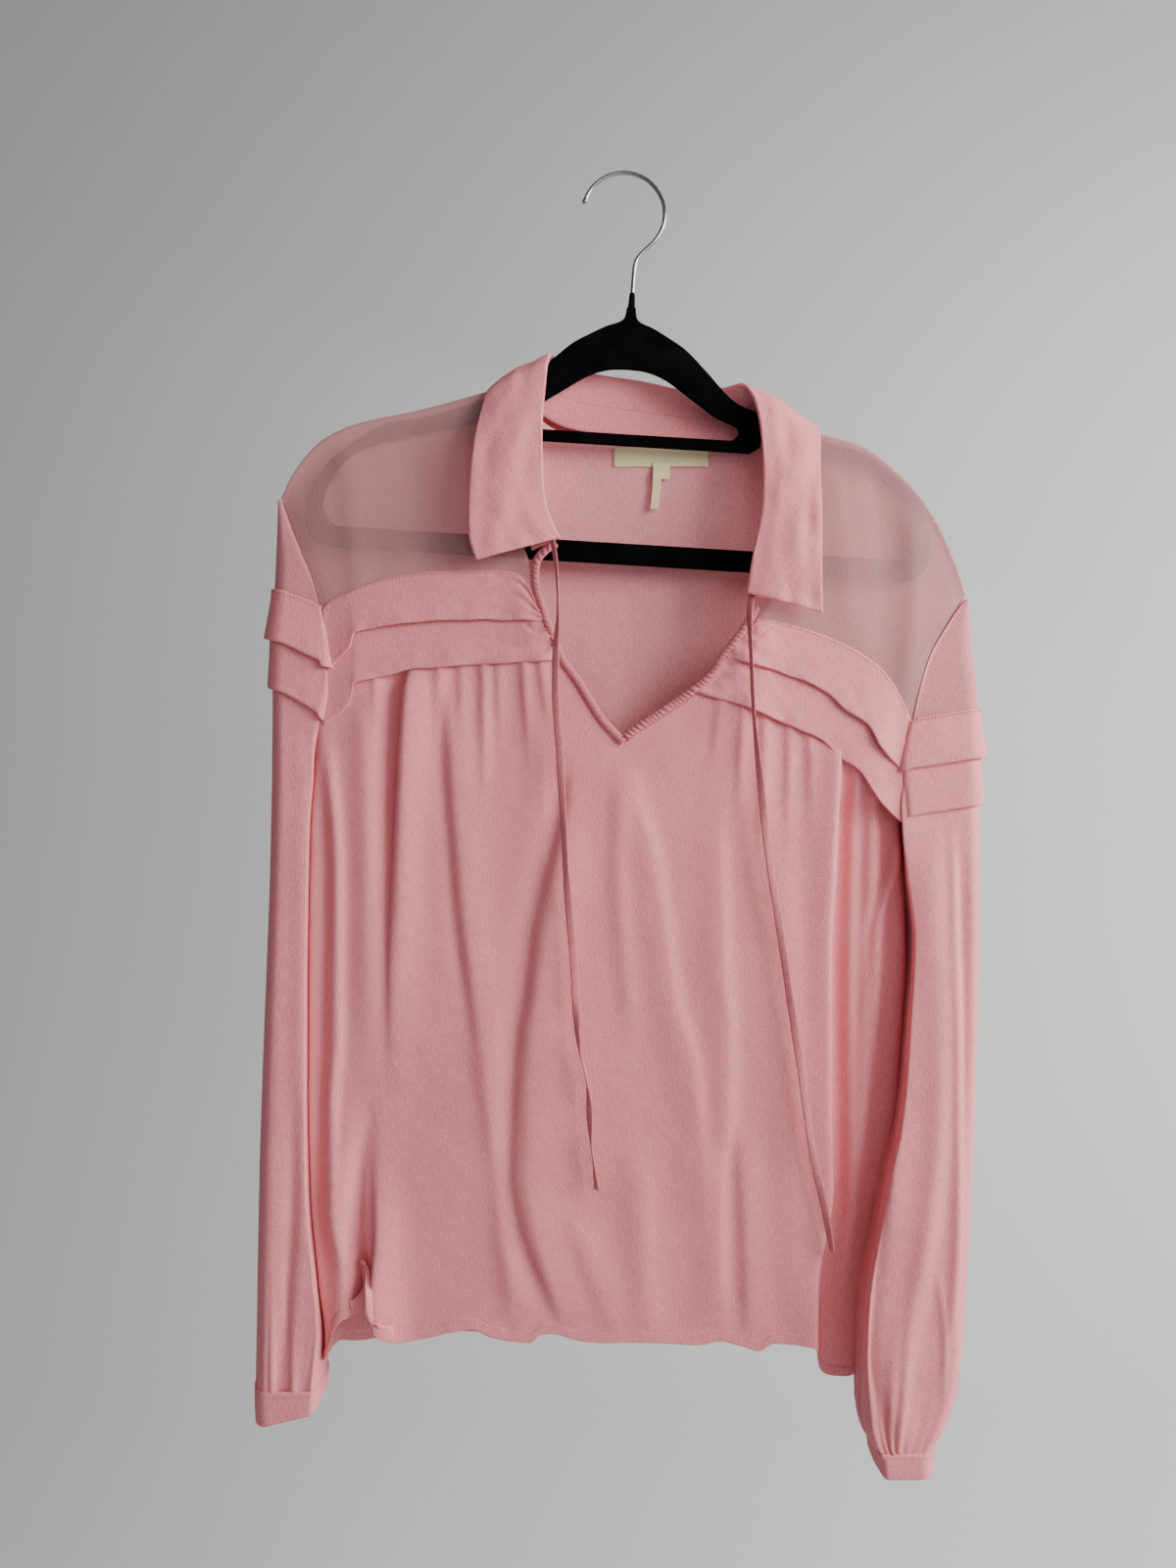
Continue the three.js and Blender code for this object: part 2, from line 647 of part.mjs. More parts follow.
// A patch in x and z between a top and a bottom curve, bowed like its two side curves
function patchBetween(top, bottom, left, right) {
  const bow = (side, v) => side(v).sub(side(0).lerp(side(1), v));
  return (u, v) => top(u).lerp(bottom(u), v).addScaledVector(bow(left, v), 1 - u).addScaledVector(bow(right, v), u);
}

// A curve along a table between two values of its driving column
function rowCurve(rows, key, from, to) {
  const other = key === 'x' ? 'z' : 'x';
  return (t) => {
    const value = THREE.MathUtils.lerp(from, to, t);
    const result = sample(rows, key, other, value);
    return key === 'x' ? new THREE.Vector2(value, result) : new THREE.Vector2(result, value);
  };
}

function shifted(curve, x, z) {
  return (t) => curve(t).add(new THREE.Vector2(x, z));
}

function yokeSurface(top, bottom, left, right) {
  const patch = patchBetween(top, bottom, left, right);
  return (u, v) => {
    const flat = patch(u, v);
    return new THREE.Vector3(flat.x, Math.min(frontY(flat.x, flat.y), -ridgeGap / 2), flat.y);
  };
}

const halfSeam = seamGap / 2;
const leftYoke = yokeSurface(
  rowCurve(ridgeRows, 'x', -239.4 + armholeGap / 2, -78.6),
  shifted(rowCurve(frontTopRows, 'x', -208, -64), 0, halfSeam),
  shifted(rowCurve(leftSideRows, 'z', -225, -307), armholeGap / 2, 0),
  rowCurve(leftNeckEdge, 'z', -142, -299.5),
);
const rightYoke = yokeSurface(
  rowCurve(ridgeRows, 'x', 106.6, 234.4 - armholeGap / 2),
  shifted(rowCurve(frontTopRows, 'x', 87, 191), 0, halfSeam),
  rowCurve(rightNeckEdge, 'z', -162, -312),
  shifted(rowCurve(rightBodyRows, 'z', -293, -379), -armholeGap / 2, 0),
);
const yokeRows = [0, 0.006, 0.02, 0.05, 0.15, 0.32, 0.52, 0.76, 1];

// A strip that lies on the front between two curves, moved out and flaring towards its lower edge
function addFrontTier(name, top, bottom, rise, flare) {
  const surface = (u, v) => {
    const flat = top(u).lerp(bottom(u), v);
    const fold = foldHeight(frontFolds, flat.x, flat.y);
    const out = rise + flare * v;
    return new THREE.Vector3(flat.x, frontY(flat.x, flat.y) - fold - out, flat.y);
  };
  addWall(name, surface, -1, spread(0, 1, 13), spread(0, 1, 2), clothWall, crepe);
}

// Sleeve: 0 at the front edge of its inner seam, round the outer edge at 0.5, back to the seam at 1
const sleeveTurn = 0.13;
const sleevePlaces = [
  ...spread(0, sleeveTurn, 3).slice(0, -1),
  ...spread(sleeveTurn, 0.5 - sleeveTurn, 4).slice(0, -1),
  ...spread(0.5 - sleeveTurn, 0.5 + sleeveTurn, 6).slice(0, -1),
  ...spread(0.5 + sleeveTurn, 1 - sleeveTurn, 3).slice(0, -1),
  ...spread(1 - sleeveTurn, 1, 3),
];

function sleevePoint(u, z, rows, innerRows) {
  const closed = sample(innerRows, 'z', 'closed', z);
  const outer = sample(rows, 'z', 'outer', z);
  const outwards = Math.sign(outer);
  const inner = sample(innerRows, 'z', 'x', z) + (outwards * (armholeGap + sideGap * closed)) / 2;
  const middle = sample(rows, 'z', 'middle', z);
  const front = u <= 0.5;
  const key = front ? 'front' : 'back';
  const across = front ? u : 1 - u;
  const wide = Math.abs(outer - inner);
  const innerCorner = Math.min(sleeveCorner, wide * 0.4);
  const outerCorner = Math.min(sleeveCorner * 1.6, wide * 0.5);
  const flatWide = wide - innerCorner - outerCorner;
  const facing = front ? -1 : 1;
  const own = sample(rows, 'z', key, z);
  const shoulder = facing * standOff(inner, z, key);
  let turn = Math.PI / 2;
  let offset = innerCorner + (flatWide * (across - sleeveTurn)) / (0.5 - 2 * sleeveTurn);
  let y = own;
  if (across < sleeveTurn) {
    turn = (across / sleeveTurn) * (Math.PI / 2);
    offset = innerCorner * (1 - Math.cos(turn));
    const depth = THREE.MathUtils.lerp(shoulder, own, Math.sin(turn));
    const hidden = middle + facing * (seamGap / 2);
    y = THREE.MathUtils.lerp(depth, hidden + (depth - hidden) * Math.sin(turn), closed);
  } else if (across > 0.5 - sleeveTurn) {
    turn = ((0.5 - across) / sleeveTurn) * (Math.PI / 2);
    offset = wide - outerCorner * (1 - Math.cos(turn));
    y = middle + (own - middle) * Math.sin(turn);
  }
  return new THREE.Vector3(inner + outwards * offset, y, z);
}

// A height on a sleeve between its outer and inner values
function sleeveHeight(u, pair) {
  return THREE.MathUtils.lerp(pair[0], pair[1], Math.abs(2 * u - 1));
}

function sleeveSurface(rows, innerRows, topPair, bottomPair) {
  return (u, v) => {
    const z = THREE.MathUtils.lerp(sleeveHeight(u, topPair), sleeveHeight(u, bottomPair), v);
    return sleevePoint(u, z, rows, innerRows);
  };
}

const lowered = (pair, amount) => pair.map((z) => z - amount);

function addSleeve(side, rows, innerRows, heights, capTop, cuffBottom, sign) {
  const cap = sleeveSurface(rows, innerRows, [capTop, capTop], lowered(heights.seam, -halfSeam));
  addWall(`sleeve_cap_${side}`, cap, sign, sleevePlaces, spread(0, 1, 4), clothWall, crepe);
  const tube = sleeveSurface(rows, innerRows, lowered(heights.seam, halfSeam), heights.cuff);
  const tubeRows = [...spread(0, 0.28, 8), ...spread(0.34, 1, 10)];
  addWall(`sleeve_${side}`, tube, sign, sleevePlaces, tubeRows, clothWall, crepe);
  const cuff = sleeveSurface(rows, innerRows, lowered(heights.cuff, cuffGap), cuffBottom);
  addWall(`cuff_${side}`, cuff, sign, sleevePlaces, spread(0, 1, 1), clothWall * 1.5, crepe);
  const upper = sleeveSurface(rows, innerRows, heights.seam, heights.upper);
  const lower = sleeveSurface(rows, innerRows, lowered(heights.upper, -tierOverlap), heights.lower);
  const tierPlaces = [0.02, ...sleevePlaces.filter((u) => u > 0.03 && u < 0.9), 0.93];
  const upperTier = movedOut(upper, sign, (u, v) => tierRise + tierFlare * v);
  const lowerTier = movedOut(lower, sign, (u, v) => tierRise + tierFlare * 0.3 * v);
  addWall(`sleeve_tier_${side}_upper`, upperTier, sign, tierPlaces, spread(0, 1, 2), clothWall, crepe);
  addWall(`sleeve_tier_${side}_lower`, lowerTier, sign, tierPlaces, spread(0, 1, 2), clothWall, crepe);
}

// Collar leaf and stand
const collarStation = (u, key) => {
  const stations = collarRows.map((row, i) => ({ ...row, at: i / (collarRows.length - 1) }));
  return sample(stations, 'at', key, u);
};
const rollPoint = (u) => new THREE.Vector3(...['rollX', 'rollY', 'rollZ'].map((key) => collarStation(u, key)));
const edgePoint = (u) => new THREE.Vector3(...['edgeX', 'edgeY', 'edgeZ'].map((key) => collarStation(u, key)));

const seamPoint = (u) => new THREE.Vector3(...['seamX', 'seamY', 'seamZ'].map((key) => collarStation(u, key)));

function leafFlat(u, v) {
  return rollPoint(u).lerp(edgePoint(u), v);
}

function leafSurface(u, v) {
  const bulge = collarBulge * Math.sin(Math.PI * v);
  return leafFlat(u, v).addScaledVector(outwardNormal(leafFlat, u, v, 1), bulge);
}

function standSurface(u, v) {
  const top = rollPoint(u).addScaledVector(outwardNormal(leafFlat, u, 0, 1), -standDrop);
  return top.lerp(seamPoint(u), v);
}

// Binding of the V neck: a flat casing beside the front's edge
function addBinding(name, rows, outwards) {
  const line = rows.map((row) => new THREE.Vector2(row.x, row.z));
  const curve = new THREE.SplineCurve(line);
  const surface = (u, v) => {
    const point = curve.getPoint(u);
    const tangent = curve.getTangent(u);
    const away = new THREE.Vector2(-tangent.y, tangent.x).multiplyScalar(outwards * bindingWidth * v);
    point.add(away);
    return new THREE.Vector3(point.x, frontY(point.x, point.y), point.y);
  };
  addWall(name, surface, outwards, spread(0, 1, 12), spread(0, 1, 1), bindingWall, crepe);
}

function addLabel(name, label) {
  const surface = (u, v) => {
    const x = THREE.MathUtils.lerp(label.left, label.right, u);
    const z = THREE.MathUtils.lerp(label.top, label.bottom, v);
    return new THREE.Vector3(x, backY(x, z) - label.forward, z);
  };
  addWall(name, surface, -1, spread(0, 1, 4), spread(0, 1, 2), labelWall, ribbon);
}

function addTie(name, route) {
  const path = new THREE.CatmullRomCurve3(route.map((point) => new THREE.Vector3(...point)));
  const section = new THREE.Shape();
  section.absellipse(0, 0, tieHalfThickness, tieHalfWidth, 0, 2 * Math.PI);
  const steps = Math.round(path.getLength() / (5 * tieHalfWidth));
  const geometry = new THREE.ExtrudeGeometry(section, { steps, extrudePath: path, curveSegments: 2 });
  addPart(name, geometry, crepe);
}

function addHanger() {
  const hanger = new THREE.Group();
  hanger.rotation.y = hangerTilt;
  garment.add(hanger);

  const mirrored = (rows) => [
    ...rows.map((row) => new THREE.Vector2(hangerCentre + row.half, row.z)),
    ...rows.filter((row) => row.half > 0).reverse().map((row) => new THREE.Vector2(hangerCentre - row.half, row.z)),
  ];
  const plate = new THREE.Shape(mirrored(hangerTopRows).reverse());
  plate.holes.push(new THREE.Path(mirrored(hangerUpperHoleRows)));
  plate.holes.push(new THREE.Path(mirrored(hangerLowerHoleRows)));
  const body = new THREE.ExtrudeGeometry(plate, { depth: hangerThickness, bevelEnabled: false });
  body.translate(0, 0, -hangerThickness / 2);
  body.rotateX(Math.PI / 2);
  addPart('hanger_body', body, flocking, hanger);

  const line = spread(hookStartAngle, hookEndAngle, 18).map((angle) => {
    const turn = THREE.MathUtils.degToRad(angle);
    return new THREE.Vector3(hookCentreX + hookRadius * Math.cos(turn), 0, hookCentreZ + hookRadius * Math.sin(turn));
  });
  line.push(new THREE.Vector3(12.6, 0, -54.5));
  line.push(new THREE.Vector3(9.4, 0, -60.5));
  line.push(new THREE.Vector3(hangerCentre + 0.2, 0, -70));
  line.push(new THREE.Vector3(hangerCentre, 0, bossTop + 0.3));
  const wire = new THREE.Shape();
  wire.absarc(0, 0, wireRadius, 0, 2 * Math.PI);
  const path = new THREE.CatmullRomCurve3(line);
  const hook = new THREE.ExtrudeGeometry(wire, { steps: 46, extrudePath: path, curveSegments: 4 });
  addPart('hanger_hook', hook, chrome, hanger);
}

addHanger();

const backRows = [0, 0.001, 0.0035, 0.008, 0.025, 0.06, ...spread(0.1, 0.4, 8), ...spread(0.46, 1, 6)];
addWall('back', backSurface, 1, bodyPlaces(26), backRows, clothWall, crepe);
addWall('front_body', frontSurface, -1, bodyPlaces(40), spread(0, 1, 18), clothWall, crepe);
addWall('yoke_left', leftYoke, -1, spread(0, 1, 16), yokeRows, clothWall, crepe);
addWall('yoke_right', rightYoke, -1, spread(0, 1, 12), yokeRows, clothWall, crepe);

const seamLeft = rowCurve(frontTopRows, 'x', -207, -65);
const seamRight = rowCurve(frontTopRows, 'x', 89, 188);
const upperLeft = rowCurve(leftUpperTierRows, 'x', -203, -61);
const upperRight = rowCurve(rightUpperTierRows, 'x', 71, 184);
addFrontTier('front_tier_left_upper', seamLeft, upperLeft, tierRise, tierFlare);
addFrontTier('front_tier_right_upper', seamRight, upperRight, tierRise, tierFlare);
const lowerLeft = rowCurve(leftLowerTierRows, 'x', -205, -51.5);
const lowerRight = rowCurve(rightLowerTierRows, 'x', 51, 184);
addFrontTier('front_tier_left_lower', shifted(upperLeft, 0, tierOverlap), lowerLeft, tierRise, 1.2);
addFrontTier('front_tier_right_lower', shifted(upperRight, 0, tierOverlap), lowerRight, tierRise, 1.2);

addSleeve('left', leftSleeveRows, leftSideRows, leftSleeveHeights, -226.5, leftCuffBottom, 1);
addSleeve('right', rightSleeveRows, rightSleeveInnerRows, rightSleeveHeights, -295, rightCuffBottom, -1);

addWall('collar', leafSurface, 1, spread(0, 1, 40), spread(0, 1, 4), clothWall, crepe);
addWall('collar_stand', standSurface, 1, spread(0, 1, 40), spread(0, 1, 2), clothWall, crepe);
addBinding('neck_binding_left', leftOpening, -1);
addBinding('neck_binding_right', rightOpening, 1);
addLabel('label_main', mainLabel);
addLabel('label_size', sizeLabel);
addLabel('label_loop', loopLabel);
addTie('tie_left', leftTieRoute);
addTie('tie_right', rightTieRoute);

export default garment;
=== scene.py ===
# Pink crepe blouse on a flocked hanger. Sizes in the tables are millimetres, in the frame of the
# solids: x to the right, y away from the viewer, z up, origin where the hook rests.
import math

import bmesh
import bpy
import numpy as np
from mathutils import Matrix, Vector


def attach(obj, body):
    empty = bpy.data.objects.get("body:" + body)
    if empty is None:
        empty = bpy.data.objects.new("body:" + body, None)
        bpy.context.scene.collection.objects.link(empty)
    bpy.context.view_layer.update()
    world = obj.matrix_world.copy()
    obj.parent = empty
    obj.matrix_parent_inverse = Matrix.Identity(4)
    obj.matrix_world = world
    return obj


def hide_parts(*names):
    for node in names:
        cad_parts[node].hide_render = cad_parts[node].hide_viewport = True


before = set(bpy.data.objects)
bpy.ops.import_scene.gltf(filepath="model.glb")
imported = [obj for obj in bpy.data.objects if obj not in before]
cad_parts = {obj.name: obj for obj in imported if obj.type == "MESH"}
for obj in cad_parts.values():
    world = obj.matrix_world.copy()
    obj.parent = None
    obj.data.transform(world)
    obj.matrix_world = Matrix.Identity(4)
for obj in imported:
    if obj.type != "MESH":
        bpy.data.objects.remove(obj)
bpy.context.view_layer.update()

mm = 0.001
tiny = 1e-9
scene = bpy.context.scene


def linked(name, data):
    obj = bpy.data.objects.new(name, data)
    scene.collection.objects.link(obj)
    return obj


camera = {"place": (-27.2, -816.0, -422.4), "lens": 27.0, "sensor": 36, "nearest": 0.01}
camData = bpy.data.cameras.new("camera")
camData.lens = camera["lens"]
camData.sensor_width = camera["sensor"]
camData.clip_start = camera["nearest"]
camObject = linked("camera", camData)
camObject.location = [v * mm for v in camera["place"]]
camObject.rotation_euler = (math.radians(90), 0, 0)
scene.camera = camObject
print("camera")


# tables of shapes, and smooth values read from them
def table(names, *rows):
    return {name: np.array([row[i] for row in rows], float) for i, name in enumerate(names.split())}


def sample(rows, inKey, outKey, value):
    x, y, value = rows[inKey], rows[outKey], np.asarray(value, float)
    if x[-1] < x[0]:
        x, value = -x, -value
    value = np.clip(value, x[0], x[-1])
    i = np.clip(np.searchsorted(x, value, side="right") - 1, 0, len(x) - 2)
    slope = np.diff(y) / np.diff(x)
    tangent = np.zeros(len(x))
    tangent[0], tangent[-1] = slope[0], slope[-1]
    before, after = slope[:-1], slope[1:]
    same = before * after > 0
    tangent[1:-1] = np.where(same, 2 * before * after / np.where(same, before + after, 1), 0)
    span = x[i + 1] - x[i]
    t = (value - x[i]) / span
    ends = y[i] * (1 + 2 * t) * (1 - t) ** 2 + y[i + 1] * t * t * (3 - 2 * t)
    return ends + span * t * (1 - t) * (tangent[i] * (1 - t) - tangent[i + 1] * t)


def smooth(start, end, value):
    t = np.clip((value - start) / (end - start), 0, 1)
    return t * t * (3 - 2 * t)


def mix(a, b, t):
    return a + (b - a) * t


def softNoise(seed, a, b, cell):
    grid = np.random.default_rng(seed).uniform(-1, 1, (64, 64))
    a, b = np.asarray(a, float) / cell, np.asarray(b, float) / cell
    i, j = np.floor(a).astype(int), np.floor(b).astype(int)
    s, t = a - i, b - j
    s, t = s * s * (3 - 2 * s), t * t * (3 - 2 * t)

    def at(p, q):
        return grid[p % 64, q % 64]
    return mix(mix(at(i, j), at(i + 1, j), s), mix(at(i, j + 1), at(i + 1, j + 1), s), t)


# materials
crepe = {
    "colour": (0.95, 0.298, 0.326), "backColour": (0.95, 0.36, 0.385), "tieDenseShadeColour": (0.66, 0.205, 0.225),
    "capColour": (0.86, 0.32, 0.34), "sheerColour": (0.78, 0.40, 0.42), "threadColour": (0.66, 0.16, 0.175),
    "capSee": 0.72, "sheerSee": 0.36, "roughness": 0.85, "shine": 0.25, "sheen": 0.08,
    "sheenRoughness": 0.45, "sheenTint": (1.0, 0.78, 0.78, 1), "grainScale": 1150, "grainDepth": 0.00022,
    "grainStrength": 0.6, "crinkleScale": 420, "crinkleDepth": 2.4, "slubScale": (900, 170, 1),
    "slubDepth": 0.6, "weaveScale": 238.09544, "weaveDepth": 0.25, "cloudScale": 14,
}


def newMaterial(name):
    material = bpy.data.materials.new(name)
    material.use_nodes = True
    nodes = material.node_tree.nodes
    return material, nodes, nodes["Principled BSDF"]


def makeNode(nodes, kind, **values):
    node = nodes.new(kind)
    for key, value in values.items():
        if key in node.inputs:
            node.inputs[key].default_value = value
        else:
            setattr(node, key, value)
    return node


def wire(source, output, target, entry):
    source.id_data.links.new(source.outputs[output], target.inputs[entry])


def fill(node, values):
    for key, value in values.items():
        node.inputs[key].default_value = value


def texture(coords, space, kind, **values):
    node = makeNode(coords.id_data.nodes, kind, **values)
    wire(coords, space, node, "Vector")
    return node


def noise(coords, space, scale, detail):
    return texture(coords, space, "ShaderNodeTexNoise", Scale=scale, Detail=detail)


def ramp(source, *stops):
    node = source.id_data.nodes.new("ShaderNodeValToRGB")
    wire(source, "Fac", node, "Fac")
    for element, (spot, colour) in zip(node.color_ramp.elements, stops):
        element.position = spot
        element.color = (*colour, 1)
    return node


def multiplied(source, output, tint):
    node = makeNode(source.id_data.nodes, "ShaderNodeMix", data_type="RGBA", blend_type="MULTIPLY",
                    Factor=1.0)
    wire(source, output, node, "A")
    wire(tint, "Color", node, "B")
    return node


def addedTo(other, source, factor):
    node = makeNode(source.id_data.nodes, "ShaderNodeMath", operation="MULTIPLY_ADD")
    wire(source, 0, node, 0)
    node.inputs[1].default_value = factor
    wire(other, 0, node, 2)
    return node


def addBump(body, source, output, strength, distance):
    bump = makeNode(body.id_data.nodes, "ShaderNodeBump", Strength=strength, Distance=distance)
    wire(source, output, bump, "Height")
    wire(bump, "Normal", body, "Normal")


def makeCrepe(name, colour, see=1.0, grain=1.0):
    material, nodes, body = newMaterial(name)
    coords = makeNode(nodes, "ShaderNodeTexCoord")
    stretch = texture(coords, "UV", "ShaderNodeMapping", Scale=crepe["slubScale"])
    pebbles = noise(coords, "UV", crepe["grainScale"], 2.0)
    crinkle = noise(coords, "UV", crepe["crinkleScale"], 2.0)
    slub = noise(stretch, "Vector", 1.0, 3.0)
    cloud = noise(coords, "UV", crepe["cloudScale"], 2.0)
    # colour: the pink, a little darker along the slubs, and darker in the crepe's pits as painted shade
    base = np.array(colour)
    tone = ramp(slub, (0.3, base * 0.86), (0.7, np.minimum(base * 1.08, 0.95)))
    # painted shade: the grain's low spots, which the bump also sinks, are darkened
    pitShade = ramp(pebbles, (0.32, (0.80, 0.74, 0.75)), (0.62, (1, 1, 1)))
    drift = ramp(cloud, (0.3, (0.96, 0.95, 0.95)), (0.7, (1, 1, 1)))
    whole = multiplied(multiplied(tone, "Color", pitShade), "Result", drift)
    wire(whole, "Result", body, "Base Color")
    # relief: threads both ways, pebbled grain, slubs and crinkles on one another
    threads = makeNode(nodes, "ShaderNodeMath", operation="MULTIPLY")
    for entry, way in enumerate("XY"):
        wave = texture(coords, "UV", "ShaderNodeTexWave", Scale=crepe["weaveScale"], Distortion=1.5,
                       Detail=1.0, bands_direction=way)
        wire(wave, "Fac", threads, entry)
    height = addedTo(pebbles, threads, crepe["weaveDepth"])
    height = addedTo(height, slub, crepe["slubDepth"])
    height = addedTo(height, crinkle, crepe["crinkleDepth"])
    addBump(body, height, 0, crepe["grainStrength"] * grain, crepe["grainDepth"])
    fill(body, {"Roughness": crepe["roughness"], "Specular IOR Level": crepe["shine"], "Alpha": see,
                "Sheen Weight": crepe["sheen"], "Sheen Roughness": crepe["sheenRoughness"],
                "Sheen Tint": crepe["sheenTint"]})
    return material


def makeFlocking():
    material, nodes, body = newMaterial("black flocking")
    coords = makeNode(nodes, "ShaderNodeTexCoord")
    patch = noise(coords, "Object", 60.0, 3.0)
    tone = ramp(patch, (0.35, (0.0008, 0.0008, 0.001)), (0.75, (0.003, 0.003, 0.0034)))
    wire(tone, "Color", body, "Base Color")
    addBump(body, noise(coords, "Object", 2600.0, 3.0), "Fac", 0.6, 0.0003)
    fill(body, {"Roughness": 0.95, "Specular IOR Level": 0.05, "Sheen Weight": 0.01, "Sheen Roughness": 0.4})
    return material


def makeChrome():
    material, nodes, body = newMaterial("bright wire")
    scuff = noise(makeNode(nodes, "ShaderNodeTexCoord"), "Object", 420.0, 4.0)
    rough = makeNode(nodes, "ShaderNodeMapRange")
    fill(rough, {"To Min": 0.1, "To Max": 0.32})
    wire(scuff, "Fac", rough, "Value")
    wire(rough, "Result", body, "Roughness")
    tone = ramp(scuff, (0.3, (0.26, 0.27, 0.29)), (0.7, (0.40, 0.41, 0.43)))
    wire(tone, "Color", body, "Base Color")
    fill(body, {"Metallic": 1.0})
    return material


def makeRibbon(name, colour):
    material, nodes, body = newMaterial(name)
    coords = makeNode(nodes, "ShaderNodeTexCoord")
    rib = texture(coords, "UV", "ShaderNodeTexWave", Scale=420.0, Distortion=0.6, bands_direction="Y")
    base = np.array(colour)
    tone = ramp(noise(coords, "UV", 900.0, 3.0), (0.3, base * 0.86), (0.7, base))
    wire(tone, "Color", body, "Base Color")
    addBump(body, rib, "Fac", 0.5, 0.0002)
    fill(body, {"Roughness": 0.55, "Sheen Weight": 0.15})
    return material


clothPink = makeCrepe("pink crepe", crepe["colour"])
clothBack = makeCrepe("pink crepe, paler side", crepe["backColour"])
# ties and binding: a darker pink, partly their denser cloth and partly painted shade
clothTieDenseShade = makeCrepe("pink crepe, cut on the bias, darker with painted shade", crepe["tieDenseShadeColour"])
clothCap = makeCrepe("sheer pink crepe, doubled", crepe["capColour"], see=crepe["capSee"])
clothSheer = makeCrepe("sheer pink crepe", crepe["sheerColour"], see=crepe["sheerSee"])
threadPink = makeCrepe("pink thread", crepe["threadColour"], grain=0.4)
flockBlack = makeFlocking()
wireBright = makeChrome()
ribbonCream = makeRibbon("cream ribbon", (0.86, 0.72, 0.42))
print("materials")


# meshes
def unit(vectors, least=0.0):
    return vectors / (np.linalg.norm(vectors, axis=-1, keepdims=True) + least)


def gridNormals(points):
    return unit(np.cross(np.gradient(points, axis=1), np.gradient(points, axis=0)), tiny)


def gridLengths(points):
    across = np.linalg.norm(np.diff(points, axis=1), axis=2)
    down = np.linalg.norm(np.diff(points, axis=0), axis=2)
    s = np.concatenate([np.zeros((points.shape[0], 1)), np.cumsum(across, axis=1)], axis=1)
    t = np.concatenate([np.zeros((1, points.shape[1])), np.cumsum(down, axis=0)], axis=0)
    return np.stack([s - s[:, s.shape[1] // 2][:, None], t], axis=2)


def smoothFaces(mesh):
    mesh.polygons.foreach_set("use_smooth", [True] * len(mesh.polygons))


def meshObject(name, points, faces, uv, material):
    mesh = bpy.data.meshes.new(name)
    mesh.from_pydata((points * mm).tolist(), [], faces)
    smoothFaces(mesh)
    corner = np.empty(len(mesh.loops), int)
    mesh.loops.foreach_get("vertex_index", corner)
    mesh.uv_layers.new(name="cloth").data.foreach_set("uv", (uv[corner] * mm).ravel())
    mesh.materials.append(material)
    return linked(name, mesh)


# A closed cloth wall on both sides of a grid of points, with a rounded rim; shift moves its
# grain along, so that pieces side by side differ
def shell(name, points, facing, thick, material, shift=0.0):
    rows, cols = points.shape[:2]
    half = thick / 2
    normal = gridNormals(points) * facing
    loop = [(0, i) for i in range(cols)] + [(j, cols - 1) for j in range(1, rows)]
    loop += [(rows - 1, i) for i in range(cols - 2, -1, -1)] + [(j, 0) for j in range(rows - 2, 0, -1)]
    loop = np.array(loop)
    ends = np.zeros_like(points)
    ends[0] += points[0] - points[1]
    ends[-1] += points[-1] - points[-2]
    side = np.zeros_like(points)
    side[:, 0] += points[:, 0] - points[:, 1]
    side[:, -1] += points[:, -1] - points[:, -2]
    out = unit(unit(ends, tiny) + unit(side, tiny), tiny)
    rim = (points + out * half * 0.8)[loop[:, 0], loop[:, 1]]

    def flat(grid):
        return grid.reshape(-1, grid.shape[-1])
    verts = np.concatenate([flat(points + normal * half), flat(points - normal * half), rim])
    uv = flat(gridLengths(points)) + shift
    uv = np.concatenate([uv, uv + 37.0, uv[loop[:, 0] * cols + loop[:, 1]]])
    j, i = np.meshgrid(np.arange(rows - 1), np.arange(cols - 1), indexing="ij")
    a = (j * cols + i).ravel()
    outer = np.stack([a, a + 1, a + cols + 1, a + cols], axis=1)
    inner = outer[:, ::-1] + rows * cols
    edge = loop[:, 0] * cols + loop[:, 1]
    follow = np.roll(edge, -1)
    ring = 2 * rows * cols + np.arange(len(loop))
    nextRing = np.roll(ring, -1)
    rimOuter = np.stack([follow, edge, ring, nextRing], axis=1)
    rimInner = np.stack([nextRing, ring, edge + rows * cols, follow + rows * cols], axis=1)
    faces = np.concatenate([outer, inner, rimOuter, rimInner])
    if facing < 0:
        faces = faces[:, ::-1]
    return meshObject(name, verts, faces.tolist(), uv, material)


def place(obj, nodes, slot, flat=None, area=None, held="hung"):
    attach(obj, "root")
    if nodes:
        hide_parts(*nodes)


def sheetArea(points):
    across, down = np.diff(points, axis=1)[:-1], np.diff(points, axis=0)[:, :-1]
    return np.linalg.norm(np.cross(across, down), axis=2).sum() * mm * mm


# shapes shared with the solids
ridgeLeft = [(-240, -225), (-230, -205), (-211, -184), (-188, -173), (-143, -163), (-99, -151)]
ridgeRight = [(131, -178.5), (163, -188.5), (193, -212), (211, -235), (227, -269), (235, -293)]
ridge = table("x z", *ridgeLeft, (-78, -142), (-52, -95), (82, -105), (106, -165.5), *ridgeRight)
drop = table(
    "below front back",
    (0, 0, 0), (4, 0, 0), (40, 4, 4), (80, 9, 8), (140, 17, 12), (220, 21, 14), (400, 24, 15),
    (680, 27, 16),
)
leftSide = table(
    "z x closed",
    (-225, -239.4, 0), (-247, -231, 0), (-261, -225, 0), (-289, -213.5, 0), (-323, -206, 0),
    (-356, -203.8, 0), (-386, -209, 0.05), (-422, -214.5, 0.7), (-455, -216.8, 1),
    (-558, -218, 1), (-625, -218, 1), (-693, -216.5, 1), (-758, -210.5, 1), (-793, -206, 1),
    (-840, -208, 1),
)
armholeRight = [(-293, 234.4, 0), (-315, 218, 0), (-336, 205.3, 0), (-356, 198, 0), (-379, 192, 0),
                (-416, 186, 0), (-449, 187, 0.4)]
